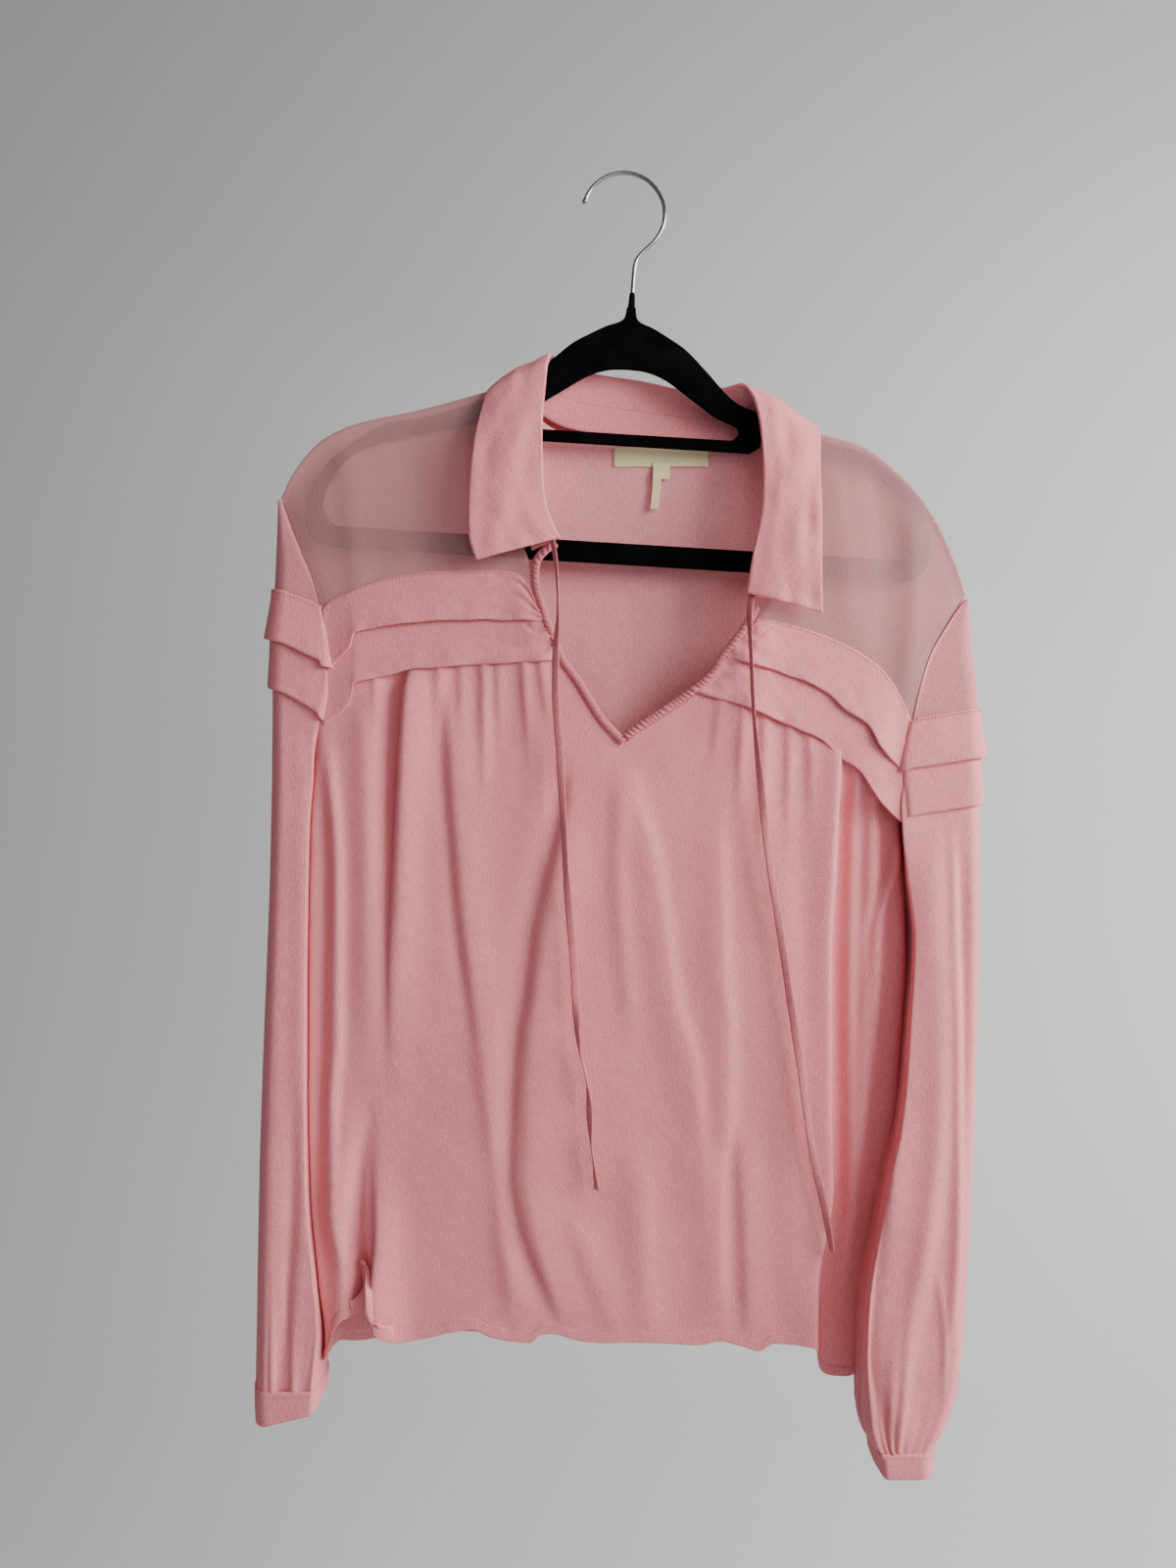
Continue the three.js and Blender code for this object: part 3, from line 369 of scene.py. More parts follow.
rightSide = table(
    "z x closed", *armholeRight,
    (-489, 190.6, 1), (-546, 192.4, 1), (-594, 189.6, 1), (-636, 187, 1), (-684, 180, 1),
    (-761, 165.7, 1), (-809, 161.3, 1), (-840, 160.5, 1),
)
rightInner = table(
    "z x closed", *armholeRight,
    (-489, 191, 1), (-523, 194.6, 1), (-584, 190, 1),
    (-624, 186.4, 1), (-657, 181.2, 1), (-677, 175.4, 1), (-718, 166.5, 1), (-777, 156.4, 1),
    (-838, 154.2, 1), (-851, 157, 1), (-862, 163, 1), (-890, 165, 1),
)
ridgeHalf = 3.9
bodyCornerLeft, bodyCornerRight = 5, 7
sleeveCorner, sleeveOuter = 3, 11
cornerShare = 0.1
edgeGap = 0.3


def standOff(x, z, key):
    below = np.maximum(0, sample(ridge, "x", "z", x) - z)
    turn = 1 - np.minimum(below, ridgeHalf) / ridgeHalf
    return ridgeHalf * np.sqrt(1 - turn * turn) + sample(drop, "below", key, below)


# Folds: widths to the left and right of a centre line of (z, x), height outwards, and the lengths
# over which top and bottom fade; lean slides the crest sideways over its neighbour, and start is
# the share of the height that it has at its top
def fold(left, right, out, fade, line, lean=0, start=1.0):
    return {"left": left, "right": right, "out": out, "fade": fade, "line": table("z x", *line),
            "lean": lean, "start": start}


def foldField(folds, x, z):
    out, slide = np.zeros_like(x), np.zeros_like(x)
    for each in folds:
        line = each["line"]
        top, bottom = line["z"][0], line["z"][-1]
        reach = smooth(0, each["fade"][0], top - z) * smooth(0, each["fade"][1], z - bottom)
        grow = mix(each["start"], 1.0, smooth(top, bottom, z))
        offset = x - sample(line, "z", "x", z)
        wide = np.where(offset < 0, each["left"], each["right"])
        shape = np.exp(-(offset / wide) ** 2) * reach * grow
        out += each["out"] * shape
        slide += each["lean"] * shape
    return out, slide


frontFolds = [
    # the deep knife pleat at the left and the trough that it hangs over
    fold(4.5, 13, 5.5, (20, 150), [(-339, -143.5), (-360, -145.5), (-407, -149), (-494, -153.5),
         (-560, -156), (-640, -157)], lean=-4),
    fold(9, 5, -8, (20, 150), [(-337, -154), (-360, -155.2), (-416, -156.5), (-488, -157.5),
         (-575, -158.5)]),
    fold(10, 9, 3, (60, 120), [(-340, -178), (-420, -176), (-520, -174), (-640, -176)]),
    # strip beside the left sleeve
    fold(6, 4, 3.5, (50, 60), [(-380, -204), (-484, -195), (-591, -195), (-635, -198), (-701, -198),
         (-760, -188)]),
    fold(5, 4, -3, (60, 60), [(-400, -207), (-484, -203), (-591, -205), (-701, -207), (-760, -200)]),
    # left chest: a narrow bright crest beside its trough
    fold(5, 4, -2.6, (50, 90), [(-345, -128), (-407, -125), (-467, -120), (-500, -117.5), (-545, -112),
         (-620, -100)]),
    fold(7.5, 17, 3.0, (60, 60), [(-350, -120), (-422, -117), (-488, -112.5), (-544, -106), (-591, -99),
         (-639, -92), (-685, -86), (-751, -79), (-800, -72)]),
    # crease that runs in from beside the left tie
    fold(10, 4, -3.4, (40, 50), [(-400, -41), (-448, -48), (-484, -57), (-523, -65.5), (-564, -70),
         (-591, -75), (-647, -79), (-683, -80), (-722, -73), (-761, -58), (-790, -46)]),
    fold(8, 20, 3.1, (60, 60), [(-420, -36), (-484, -47), (-540, -57), (-600, -64), (-683, -66),
         (-740, -56), (-800, -36)]),
    # below the neck's point, to the right
    fold(17, 6.5, 2.5, (50, 90), [(-396, -2), (-437, 5.5), (-467, 14.5), (-512, 22), (-566, 29.5),
         (-611, 42), (-684, 48), (-730, 50)]),
    fold(7, 7, 1.6, (50, 60), [(-405, -4), (-478, -7), (-550, -1.5), (-610, 4)]),
    fold(15, 6, 2.5, (60, 50), [(-430, 58), (-500, 61.5), (-548, 62.5), (-584, 66), (-643, 65.5),
         (-684, 59.5), (-737, 59.5), (-800, 64)]),
    fold(5.5, 12, 2.6, (50, 40), [(-640, 75), (-684, 77), (-731, 79), (-800, 81.5)]),
    fold(16, 12, 3, (80, 60), [(-440, 100), (-560, 106), (-680, 108), (-800, 104)]),
    fold(9, 14, 1.8, (40, 30), [(-690, -38), (-724, -33), (-760, -18), (-800, -6)]),
    fold(12, 10, 2, (50, 30), [(-650, 4), (-710, 8), (-800, 14)]),
    # lip of the deep valley at the right, then the folds in the strip behind the sleeve
    fold(12, 4, 3.6, (20, 20), [(-385, 139), (-401, 138.5), (-483, 134), (-537, 131), (-639, 131),
         (-692, 132), (-759, 121.5), (-815, 121)], lean=2.5),
    fold(4.5, 5, 5, (30, 80), [(-395, 155.5), (-483, 152), (-590, 150), (-700, 150.5), (-790, 143)]),
    fold(6, 6, 6, (40, 120), [(-395, 168), (-489, 164.5), (-555, 161.5), (-655, 158), (-760, 152)]),
    fold(3.5, 4, 4.5, (30, 90), [(-440, 188), (-477, 182.5), (-498, 175), (-526, 169), (-568, 168),
         (-640, 167)]),
    fold(3, 3, -3, (30, 60), [(-450, 180), (-490, 173), (-520, 164), (-570, 160)]),
    # the turned up corner of the hem at the left
    fold(7, 4, -12, (150, 1), [(-600, -168), (-635, -171), (-680, -180), (-716, -181), (-749, -178),
         (-815, -176)], start=0.02),
    fold(4.5, 11, 10, (150, 1), [(-600, -166), (-641, -166), (-680, -166), (-731, -163), (-761, -164),
         (-815, -163)], lean=-8, start=0.02),
    fold(9, 8, 5, (80, 1), [(-620, -186), (-700, -191), (-760, -190), (-815, -190)]),
]
# small pleats let in under the tiers; slant is how far the lower end lies to the side
pleat = {"left": 2.2, "right": 5, "above": 14, "fadeTop": 8, "fadeShare": 0.8}
pleats = table(
    "x top length out slant",
    (-171, -350, 60, 1.6, 2), (-127, -343, 90, 1.8, -2), (-113, -341, 60, 1.4, 1),
    (-98, -340, 110, 2.2, 1), (-88, -340, 70, 1.4, 2), (-72, -339, 80, 2.0, 6),
    (-61, -338, 50, 1.4, 7), (64, -362, 60, 1.4, -9), (78, -368, 90, 1.6, -6),
    (92, -374, 120, 1.8, -5), (108, -381, 100, 1.8, -2), (121, -386, 80, 1.6, 1),
)
for x, top, length, out, slant in zip(*pleats.values()):
    fade = (pleat["fadeTop"], length * pleat["fadeShare"])
    route = [(top + pleat["above"], x), (top - length, x + slant)]
    frontFolds.append(fold(pleat["left"], pleat["right"], out, fade, route))
backFolds = [
    fold(16, 26, 6, (90, 60), [(-330, -118), (-600, -130), (-860, -142)]),
    fold(12, 9, -3.5, (90, 60), [(-330, -72), (-600, -80), (-860, -84)]),
    fold(24, 16, -6, (90, 60), [(-320, -16), (-600, -24), (-860, -34)]),
    fold(9, 18, 4, (90, 60), [(-340, 22), (-600, 24), (-860, 18)]),
    fold(20, 24, 6, (90, 60), [(-380, 66), (-620, 74), (-860, 80)]),
    fold(12, 10, -3, (90, 60), [(-380, 118), (-620, 122), (-860, 112)]),
    fold(10, 12, 3, (90, 60), [(-360, -172), (-600, -178), (-860, -176)]),
]
bodyCloth = {
    "wall": 0.9, "frontCells": (205, 190), "frontHeight": 480, "backCells": (170, 165), "backHeight": 640,
    "hem": 6.0, "hemRise": 0.45, "pucker": 0.5, "puckerCell": 4.5, "wave": 0.5, "waveCell": 34,
    "ripple": 0.16, "rippleCell": 9, "least": 0.3, "sideGap": 0.25, "seamPull": 0.9, "seamReach": 3.0,
}
# the deep valley at the right, behind its lip
recess = {"top": -395, "depth": 13, "half": 3.2, "fade": 60}
recessLine = table("z x", (-395, 143.5), (-483, 139.5), (-537, 136.5), (-640, 136.5), (-692, 137.5),
                   (-759, 128), (-820, 126.5))


def bodyPoints(u, z, key, folds):
    facing = -1 if key == "front" else 1
    leftClosed, rightClosed = sample(leftSide, "z", "closed", z), sample(rightSide, "z", "closed", z)
    left = sample(leftSide, "z", "x", z) + edgeGap / 2
    right = sample(rightSide, "z", "x", z) - edgeGap / 2
    edge = np.minimum(u, 1 - u)
    turn = np.minimum(edge / cornerShare, 1) * (math.pi / 2)
    wide = right - left - bodyCornerLeft - bodyCornerRight
    x = left + bodyCornerLeft + wide * (u - cornerShare) / (1 - 2 * cornerShare)
    x = np.where(u < cornerShare, left + bodyCornerLeft * (1 - np.cos(turn)), x)
    x = np.where(u > 1 - cornerShare, right - bodyCornerRight * (1 - np.cos(turn)), x)
    closed = np.where(u < 0.5, leftClosed, rightClosed)
    share = closed * np.sin(turn) + 1 - closed
    out, slide = foldField(folds, x, z)
    out = out + bodyCloth["wave"] * softNoise(11, x, z, bodyCloth["waveCell"])
    out = out + bodyCloth["ripple"] * softNoise(12, x, z, bodyCloth["rippleCell"])
    shaped = facing * out * np.sin(turn)
    if key == "front":
        line = sample(recessLine, "z", "x", z)
        reach = smooth(0, recess["fade"], recess["top"] - z)
        shaped = shaped + recess["depth"] * reach * smooth(line - recess["half"], line + recess["half"], x)
    flat = facing * standOff(x, z, key)
    y = facing * bodyCloth["sideGap"] * closed + (flat + shaped) * share
    y = facing * np.maximum(facing * y, bodyCloth["least"])
    # the seam at the armhole pulls the cloth in
    fromSeam = edge * (right - left) / (1 - 2 * cornerShare)
    y = y - facing * bodyCloth["seamPull"] * np.exp(-(fromSeam / bodyCloth["seamReach"]) ** 2) * (1 - closed)
    return np.stack([x + slide * np.sin(turn), y, z + 0 * x], axis=-1)


def edgeHeights(u, rows, key, folds):
    z = np.interp(u, np.linspace(0, 1, len(rows["z"])), rows["z"])
    for _ in range(8):
        z = sample(rows, "x", "z", bodyPoints(u, z, key, folds)[..., 0])
    return z


def panel(u, v, topRows, hemRows, key, folds):
    top, bottom = edgeHeights(u, topRows, key, folds), edgeHeights(u, hemRows, key, [])
    z = mix(top[None, :], bottom[None, :], v[:, None])
    return bodyPoints(np.broadcast_to(u, z.shape), z, key, folds)


frontTop = table(
    "x z",
    (-212, -312), (-202, -299), (-191, -294), (-180, -289), (-164, -284), (-123, -279), (-93, -279),
    (-76, -280.5), (-68, -288), (-61, -305), (-47, -340), (-36, -356), (-20.5, -380.5), (-5, -395),
    (6, -388), (25, -376), (45, -362), (60, -350.5), (66, -340), (79, -323), (87, -312),
    (108, -315.6), (143, -327.5), (169, -344), (179, -356), (192, -381.5),
)
frontHem = table(
    "x z",
    (-207, -813), (-201, -804), (-196, -786), (-190, -778), (-184, -777), (-180, -771), (-177.5, -757),
    (-173, -750), (-169, -754), (-165.5, -768), (-162, -784), (-158, -790), (-150, -794),
    (-133, -791.5), (-118, -788), (-106, -786.5), (-90, -792), (-74, -794.5), (-66, -795),
    (-58, -789.5), (-50, -789), (-36, -793),
    (-18, -795), (14, -795), (47, -796.5), (61, -794), (73, -796.5), (87, -800.5), (97, -795.5),
    (120, -797), (126, -804), (130, -819), (136, -823), (148, -824), (154, -822), (161, -818),
)
backHem = table(
    "x z",
    (-206, -817), (-192, -818), (-173, -817), (-150, -814), (-107, -812), (-80, -815), (-40, -811),
    (0, -813), (40, -816), (83, -812), (131, -823), (160, -830),
)
backTop = table(
    "x z", *ridgeLeft, (-76, -145.8), (-66, -162.4), (-42, -176.4), (6, -182.4), (54, -187.4),
    (89, -184.4), (104, -166), *ridgeRight,
)


def acrossPlaces(cells):
    corner = np.linspace(0, cornerShare, 9)[:-1]
    return np.concatenate([corner, np.linspace(cornerShare, 1 - cornerShare, cells - 16), (1 - corner)[::-1]])


# Rows that crowd towards the hem, so its turned edge has its own step
def downPlaces(cells, height):
    hem = bodyCloth["hem"] / height
    last = 1 - hem * np.array([1.35, 1.12, 1.0, 0.86, 0.6, 0.35, 0.15, 0.0])
    return np.concatenate([np.linspace(0, last[0], cells - 7)[:-1], last])


def hemRise(points, facing, height, v):
    step = smooth(bodyCloth["hem"] * 1.15, bodyCloth["hem"] * 0.95, (1 - v) * height)[:, None]
    pucker = softNoise(31, points[..., 0], points[..., 2], bodyCloth["puckerCell"])
    pucker = 1 + bodyCloth["pucker"] * pucker
    return points + gridNormals(points) * facing * (bodyCloth["hemRise"] * step * pucker)[..., None]


def bodyGrid(key, top, hem, folds):
    cells, height = bodyCloth[key + "Cells"], bodyCloth[key + "Height"]
    down = downPlaces(cells[1], height)
    grid = panel(acrossPlaces(cells[0]), down, top, hem, key, folds)
    return hemRise(grid, -1 if key == "front" else 1, height, down)


frontGrid = bodyGrid("front", frontTop, frontHem, frontFolds)
frontPiece = shell("cloth_front", frontGrid, -1, bodyCloth["wall"], clothPink)
place(frontPiece, ["front_body"], "crepe", flat=(0.46, 0.55), area=0.215)
# the hem's turned edge curls out where the corner lifts
hemTurn = {"from": -186, "to": -156, "rows": 9, "along": 70, "clear": 0.7, "curl": 4.2, "wall": 0.8}
hemLine = frontGrid[-1, :, 0]
turned = np.nonzero((hemLine > hemTurn["from"]) & (hemLine < hemTurn["to"]))[0]
spots = np.linspace(turned[0], turned[-1], hemTurn["along"])
lower, share = np.floor(spots).astype(int), (spots % 1)[None, :, None]
outNormal = -gridNormals(frontGrid)
hemBand = []
for grid in (frontGrid, outNormal):
    band = grid[-hemTurn["rows"]:][::-1]
    hemBand.append(mix(band[:, lower], band[:, np.minimum(lower + 1, turned[-1])], share))
v = np.linspace(0, 1, hemTurn["rows"])[:, None]
swell = np.sin(math.pi * np.linspace(0, 1, hemTurn["along"]))[None] ** 0.6
lift = bodyCloth["wall"] / 2 + hemTurn["clear"] + hemTurn["curl"] * swell * v ** 1.4
hemCurl = hemBand[0] + hemBand[1] * lift[..., None]
curlPiece = shell("cloth_hem_turn", hemCurl, 1, hemTurn["wall"], clothPink, shift=1100)
place(curlPiece, [], "crepe", flat=(0.08, 0.0105))
print("hem turn", round(sheetArea(hemCurl), 5))
backGrid = bodyGrid("back", backTop, backHem, backFolds)
backPiece = shell("cloth_back", backGrid, 1, bodyCloth["wall"], clothBack, shift=400)
place(backPiece, ["back"], "crepe", flat=(0.49, 0.68), area=0.29)
print("body", round(sheetArea(frontGrid), 4), round(sheetArea(backGrid), 4))


# yokes: one layer of crepe from the shoulder ridge to the first tier
def rowCurve(rows, key, start, end, t):
    value = mix(start, end, t)
    other = "z" if key == "x" else "x"
    result = sample(rows, key, other, value)
    return np.stack([value, result] if key == "x" else [result, value], axis=-1)


def patchBetween(top, bottom, left, right, u, v):
    t, b = top(u)[None], bottom(u)[None]
    bowLeft = left(v) - mix(left(0.0), left(1.0), v[:, None])
    bowRight = right(v) - mix(right(0.0), right(1.0), v[:, None])
    u, v = u[None, :, None], v[:, None, None]
    return mix(t, b, v) + bowLeft[:, None] * (1 - u) + bowRight[:, None] * u


leftNeck = table(
    "z x",
    (-142, -78.6), (-163, -79), (-187, -78), (-212, -76), (-234, -73), (-258, -70.6), (-266, -68),
    (-274, -65.2), (-289, -63.5), (-305, -60.5),
)
rightNeck = table(
    "z x",
    (-162, 106.6), (-191, 107), (-232, 106), (-255, 103.5), (-278, 99), (-297, 93), (-312, 87),
)
yoke = {
    "wall": 0.6, "cells": (110, 100), "width": 160, "wave": 0.35, "waveCell": 22, "seamPull": 0.8,
    "seamReach": 3.0, "flatEdge": 0.06, "least": 0.4, "left": {"flat": (0.16, 0.17), "area": 0.0205},
    "right": {"flat": (0.15, 0.215), "area": 0.0185},
}
yokeFolds = [
    fold(9, 14, 1.6, (40, 30), [(-172, -200), (-240, -188), (-310, -182)]),
    fold(16, 12, -1.4, (40, 30), [(-162, -150), (-230, -142), (-290, -138)]),
    fold(12, 16, 1.2, (40, 30), [(-156, -112), (-220, -108), (-290, -104)]),
    fold(12, 10, 1.3, (40, 30), [(-180, 134), (-250, 146), (-330, 150)]),
    fold(10, 12, -1.6, (40, 30), [(-190, 168), (-260, 176), (-350, 172)]),
    fold(8, 10, 1.6, (40, 30), [(-215, 196), (-290, 196), (-370, 184)]),
]


def yokeGrid(top, bottom, left, right):
    u = np.linspace(0, 1, yoke["cells"][0])
    v = np.concatenate([[0, 0.004, 0.01, 0.018, 0.028], np.linspace(0.04, 1, yoke["cells"][1] - 5)])
    flat = patchBetween(top, bottom, left, right, u, v)
    x, z = flat[..., 0], flat[..., 1]
    out, _ = foldField(yokeFolds, x, z)
    wave = yoke["wave"] * softNoise(21, x, z, yoke["waveCell"])
    out = out + wave * smooth(0, 40, sample(ridge, "x", "z", x) - z)
    side = np.minimum(u, 1 - u)[None, :] * yoke["width"]
    pull = yoke["seamPull"] * np.exp(-(side / yoke["seamReach"]) ** 2) + 0 * x
    flatness = smooth(0, yoke["flatEdge"], side / yoke["width"])
    y = np.minimum(-standOff(x, z, "front") - out * flatness + pull, -yoke["least"])
    return np.stack([x, y, z], axis=-1)


leftYoke = yokeGrid(
    lambda t: rowCurve(ridge, "x", -239.2, -78.6, t), lambda t: rowCurve(frontTop, "x", -208, -64, t),
    lambda t: rowCurve(leftSide, "z", -225, -307, t) + [edgeGap / 2, 0],
    lambda t: rowCurve(leftNeck, "z", -142, -299.5, t),
)
rightYoke = yokeGrid(
    lambda t: rowCurve(ridge, "x", 106.6, 234.2, t), lambda t: rowCurve(frontTop, "x", 87, 191, t),
    lambda t: rowCurve(rightNeck, "z", -162, -312, t),
    lambda t: rowCurve(rightSide, "z", -293, -379, t) - [edgeGap / 2, 0],
)
for side, grid in (("left", leftYoke), ("right", rightYoke)):
    piece = shell(f"cloth_yoke_{side}", grid, -1, yoke["wall"], clothSheer)
    place(piece, [f"yoke_{side}"], "sheer_crepe", **yoke[side])
    print("yoke", side, round(sheetArea(grid), 4))


# tiers of the front: double bands sewn in at their tops, free along their lower edges
tierRows = {
    "leftUpper": table("x z", (-203, -346), (-197, -340), (-190, -334), (-186.5, -329), (-184.5, -321),
                       (-173, -318), (-149, -314), (-95, -312), (-57, -313)),
    "leftLower": table("x z", (-206, -384), (-198, -378), (-190, -371), (-186.5, -366),
                       (-184.5, -354.5), (-175, -352), (-164, -350), (-144, -345), (-79, -341),
                       (-47, -339)),
    "rightUpper": table("x z", (68, -338), (82, -342), (101, -347), (133, -361), (145, -372),
                        (160, -382), (168, -397), (185, -415)),
    "rightLower": table("x z", (47, -361), (77, -370), (106, -382), (129, -392), (140, -403),
                        (154, -413), (169, -435), (185, -449)),
}
tier = {
    "wall": 1.3, "rise": 1.7, "flare": 3.6, "lowerFlare": 1.4, "overlap": 7, "cells": (150, 30),
    "crease": 1.0, "creaseReach": 17, "length": 145, "least": 0.75, "flarePower": 1.3, "neckShare": 0.35,
    "neckReach": 16, "armShare": 0.3, "armReach": 22,
}


def tierGrid(top, bottom, rise, flare, seed, neckEnd):
    u, v = np.linspace(0, 1, tier["cells"][0]), np.linspace(0, 1, tier["cells"][1])
    flat = mix(top(u)[None], bottom(u)[None], v[:, None, None])
    x, z = flat[..., 0], flat[..., 1]
    down = v[:, None]
    wave = 0.9 * softNoise(seed, x, 0 * x, 17) + 0.5 * softNoise(seed + 1, x, z, 8)
    fromNeck = (1 - u if neckEnd else u)[None] * tier["length"]
    fromArm = (u if neckEnd else 1 - u)[None] * tier["length"]
    out = rise + flare * down ** tier["flarePower"] + wave * down ** 2
    out = out * mix(tier["neckShare"], 1, smooth(0, tier["neckReach"], fromNeck))
    out = out * mix(tier["armShare"], 1, smooth(0, tier["armReach"], fromArm))
    # creases that run in to the gathered neck edge
    crease = np.sin(2 * math.pi * (2.6 * down + 0.5 * softNoise(seed + 3, fromNeck + 0 * down, down * 30, 9)))
    out = out + tier["crease"] * crease * np.exp(-fromNeck / tier["creaseReach"]) * smooth(0, 2, fromNeck)
    y = -standOff(x, z, "front") - np.maximum(out, tier["least"])
    return np.stack([x, y, z + 0.5 * softNoise(seed + 2, x, 0 * x, 12) * down], axis=-1)


def seamTop(start, end):
    return lambda t: rowCurve(frontTop, "x", start, end, t) + [0, 0.4]


def tierBottom(key, start, end, raised=0.0):
    return lambda t: rowCurve(tierRows[key], "x", start, end, t) + [0, raised]


frontTiers = [
    ("left_upper", seamTop(-207, -62.5), tierBottom("leftUpper", -203, -56), tier["flare"], (0.15, 0.034)),
    ("right_upper", seamTop(87, 188), tierBottom("rightUpper", 66, 184), tier["flare"], (0.14, 0.034)),
    ("left_lower", tierBottom("leftUpper", -203, -58, tier["overlap"]), tierBottom("leftLower", -205, -45.5),
     tier["lowerFlare"], (0.16, 0.036)),
    ("right_lower", tierBottom("rightUpper", 68, 184, tier["overlap"]), tierBottom("rightLower", 46, 184),
     tier["lowerFlare"], (0.155, 0.034)),
]
tierGrids = {}
for k, (name, top, bottom, flare, size) in enumerate(frontTiers):
    grid = tierGrid(top, bottom, tier["rise"], flare, 40 + 5 * k, name.startswith("left"))
    tierGrids[name] = grid
    piece = shell(f"cloth_front_tier_{name}", grid, -1, tier["wall"], clothPink, shift=90 * k)
    place(piece, [f"front_tier_{name}"], "crepe", flat=size)
    print("tier", name, round(sheetArea(grid), 4))


# sleeves
leftSleeve = table(
    "z outer front middle back",
    (-226, -241.6, -4, 0, 4), (-245, -241.8, -9, -1, 8), (-288, -243, -16, -3, 13),
    (-322, -243.6, -20, -4, 15), (-386, -243, -25, -6, 17), (-422, -243, -27, -7, 17),
    (-489, -244, -30, -8, 16), (-555, -246, -32, -9, 14), (-621, -248, -34, -11, 12),
    (-687, -249.3, -36, -14, 9), (-753, -249.8, -38, -17, 6), (-819, -250, -40, -19, 3),
    (-862, -249, -40, -20, 1),
)
rightSleeve = table(
    "z outer front middle back",
    (-294, 236.2, -4, 0, 4), (-328, 237, -12, -4, 9), (-355, 239, -18, -7, 12),
    (-378, 239, -22, -9, 14), (-443, 239, -27, -10, 15), (-489, 238.6, -30, -12, 14),
    (-556, 236, -36, -16, 9), (-598, 234, -40, -18, 4), (-638, 232, -43, -20, 0),
    (-677, 229, -47, -25, -7), (-718, 225.6, -51, -30, -12), (-777, 221, -53, -33, -14),
    (-818, 215.8, -54, -34, -15), (-840, 209, -54, -34, -15), (-862, 199.5, -54, -34, -15),
    (-890, 199, -54, -34, -15),
)
sleeveTurn = 0.13
sleeve = {
    "wall": 0.9, "cells": (150, 230), "capCells": (90, 40), "tierCells": (120, 22), "cuffCells": (120, 16),
    "cuffWall": 1.9, "cuffGap": 0.2, "cuffFlat": (0.115, 0.023), "gathers": 21, "gatherReach": 38,
    "lowerFlare": 0.3, "wave": 0.4, "waveCell": 26, "ripple": 0.12, "rippleCell": 8, "backFolds": 0.7,
    "around": 110,
}
leftSleeveFolds = [
    fold(6, 6, 1.4, (40, 40), [(-380, -231), (-500, -233), (-700, -236), (-840, -238)]),
    fold(3, 3.5, -2.4, (120, 10), [(-600, -226), (-720, -226), (-840, -229)]),
    fold(5, 4, 0.9, (40, 40), [(-380, -222), (-500, -224), (-640, -224), (-840, -222)]),
    # its front rolls over the gap beside the body
    fold(8, 8, 0.6, (40, 60), [(-385, -215), (-455, -221), (-558, -222), (-693, -220.5), (-758, -215),
         (-820, -211)], lean=5),
]
rightSleeveFolds = [
    fold(7, 8, 3, (60, 30), [(-440, 204), (-560, 207), (-640, 203), (-720, 192), (-800, 177), (-862, 172)]),
    fold(4, 3, 1.8, (60, 40), [(-440, 217), (-560, 217), (-640, 216), (-720, 213), (-800, 206)]),
    fold(3, 6, -2, (60, 40), [(-450, 222), (-560, 222), (-640, 221), (-720, 219), (-790, 215)]),
    fold(4, 4, -2.2, (50, 30), [(-620, 178), (-700, 172), (-800, 163), (-860, 168)]),
    fold(2, 2.6, 1.1, (30, 30), [(-730, 199), (-790, 204), (-830, 202)]),
    # its front rolls over the gap beside the body
    fold(9, 9, 1, (40, 60), [(-400, 192), (-449, 193), (-523, 198), (-600, 193), (-680, 181), (-760, 166),
         (-850, 163)], lean=-7),
]


def sleevePoints(u, z, rows, inner, folds):
    closed, outer = sample(inner, "z", "closed", z), sample(rows, "z", "outer", z)
    outwards = np.sign(outer)
    edge = sample(inner, "z", "x", z) + outwards * edgeGap / 2
    middle = sample(rows, "z", "middle", z)
    front = u <= 0.5
    facing = np.where(front, -1, 1)
    across = np.where(front, u, 1 - u)
    wide = np.abs(outer - edge)
    innerCorner, outerCorner = np.minimum(sleeveCorner, wide * 0.4), np.minimum(sleeveOuter, wide * 0.5)
    own = np.where(front, sample(rows, "z", "front", z), sample(rows, "z", "back", z))
    shoulder = facing * np.where(front, standOff(edge, z, "front"), standOff(edge, z, "back"))
    turnIn = np.clip(across / sleeveTurn, 0, 1) * (math.pi / 2)
    turnOut = np.clip((0.5 - across) / sleeveTurn, 0, 1) * (math.pi / 2)
    offset = innerCorner + (wide - innerCorner - outerCorner) * (across - sleeveTurn) / (0.5 - 2 * sleeveTurn)
    offset = np.where(across < sleeveTurn, innerCorner * (1 - np.cos(turnIn)), offset)
    offset = np.where(across > 0.5 - sleeveTurn, wide - outerCorner * (1 - np.cos(turnOut)), offset)
    depth = mix(shoulder, own, np.sin(turnIn))
    hidden = middle + facing * bodyCloth["sideGap"]
    inside = mix(depth, hidden + (depth - hidden) * np.sin(turnIn), closed)
    y = np.where(across < sleeveTurn, inside, own)
    y = np.where(across > 0.5 - sleeveTurn, middle + (own - middle) * np.sin(turnOut), y)
    x = edge + outwards * offset
    out, slide = foldField(folds, x, z)
    soft = np.sin(turnIn) * np.sin(turnOut)
    out = out * np.where(front, 1, sleeve["backFolds"])
    out = out + sleeve["wave"] * softNoise(61, x, z, sleeve["waveCell"])
    out = out + sleeve["ripple"] * softNoise(62, x, z, sleeve["rippleCell"])
    y = y + facing * out * soft
    fromSeam = across * sleeve["around"] / bodyCloth["seamReach"]
    y = y - facing * bodyCloth["seamPull"] * np.exp(-fromSeam ** 2) * (1 - closed)
    return np.stack([x + slide * soft, y, z + 0 * x], axis=-1)


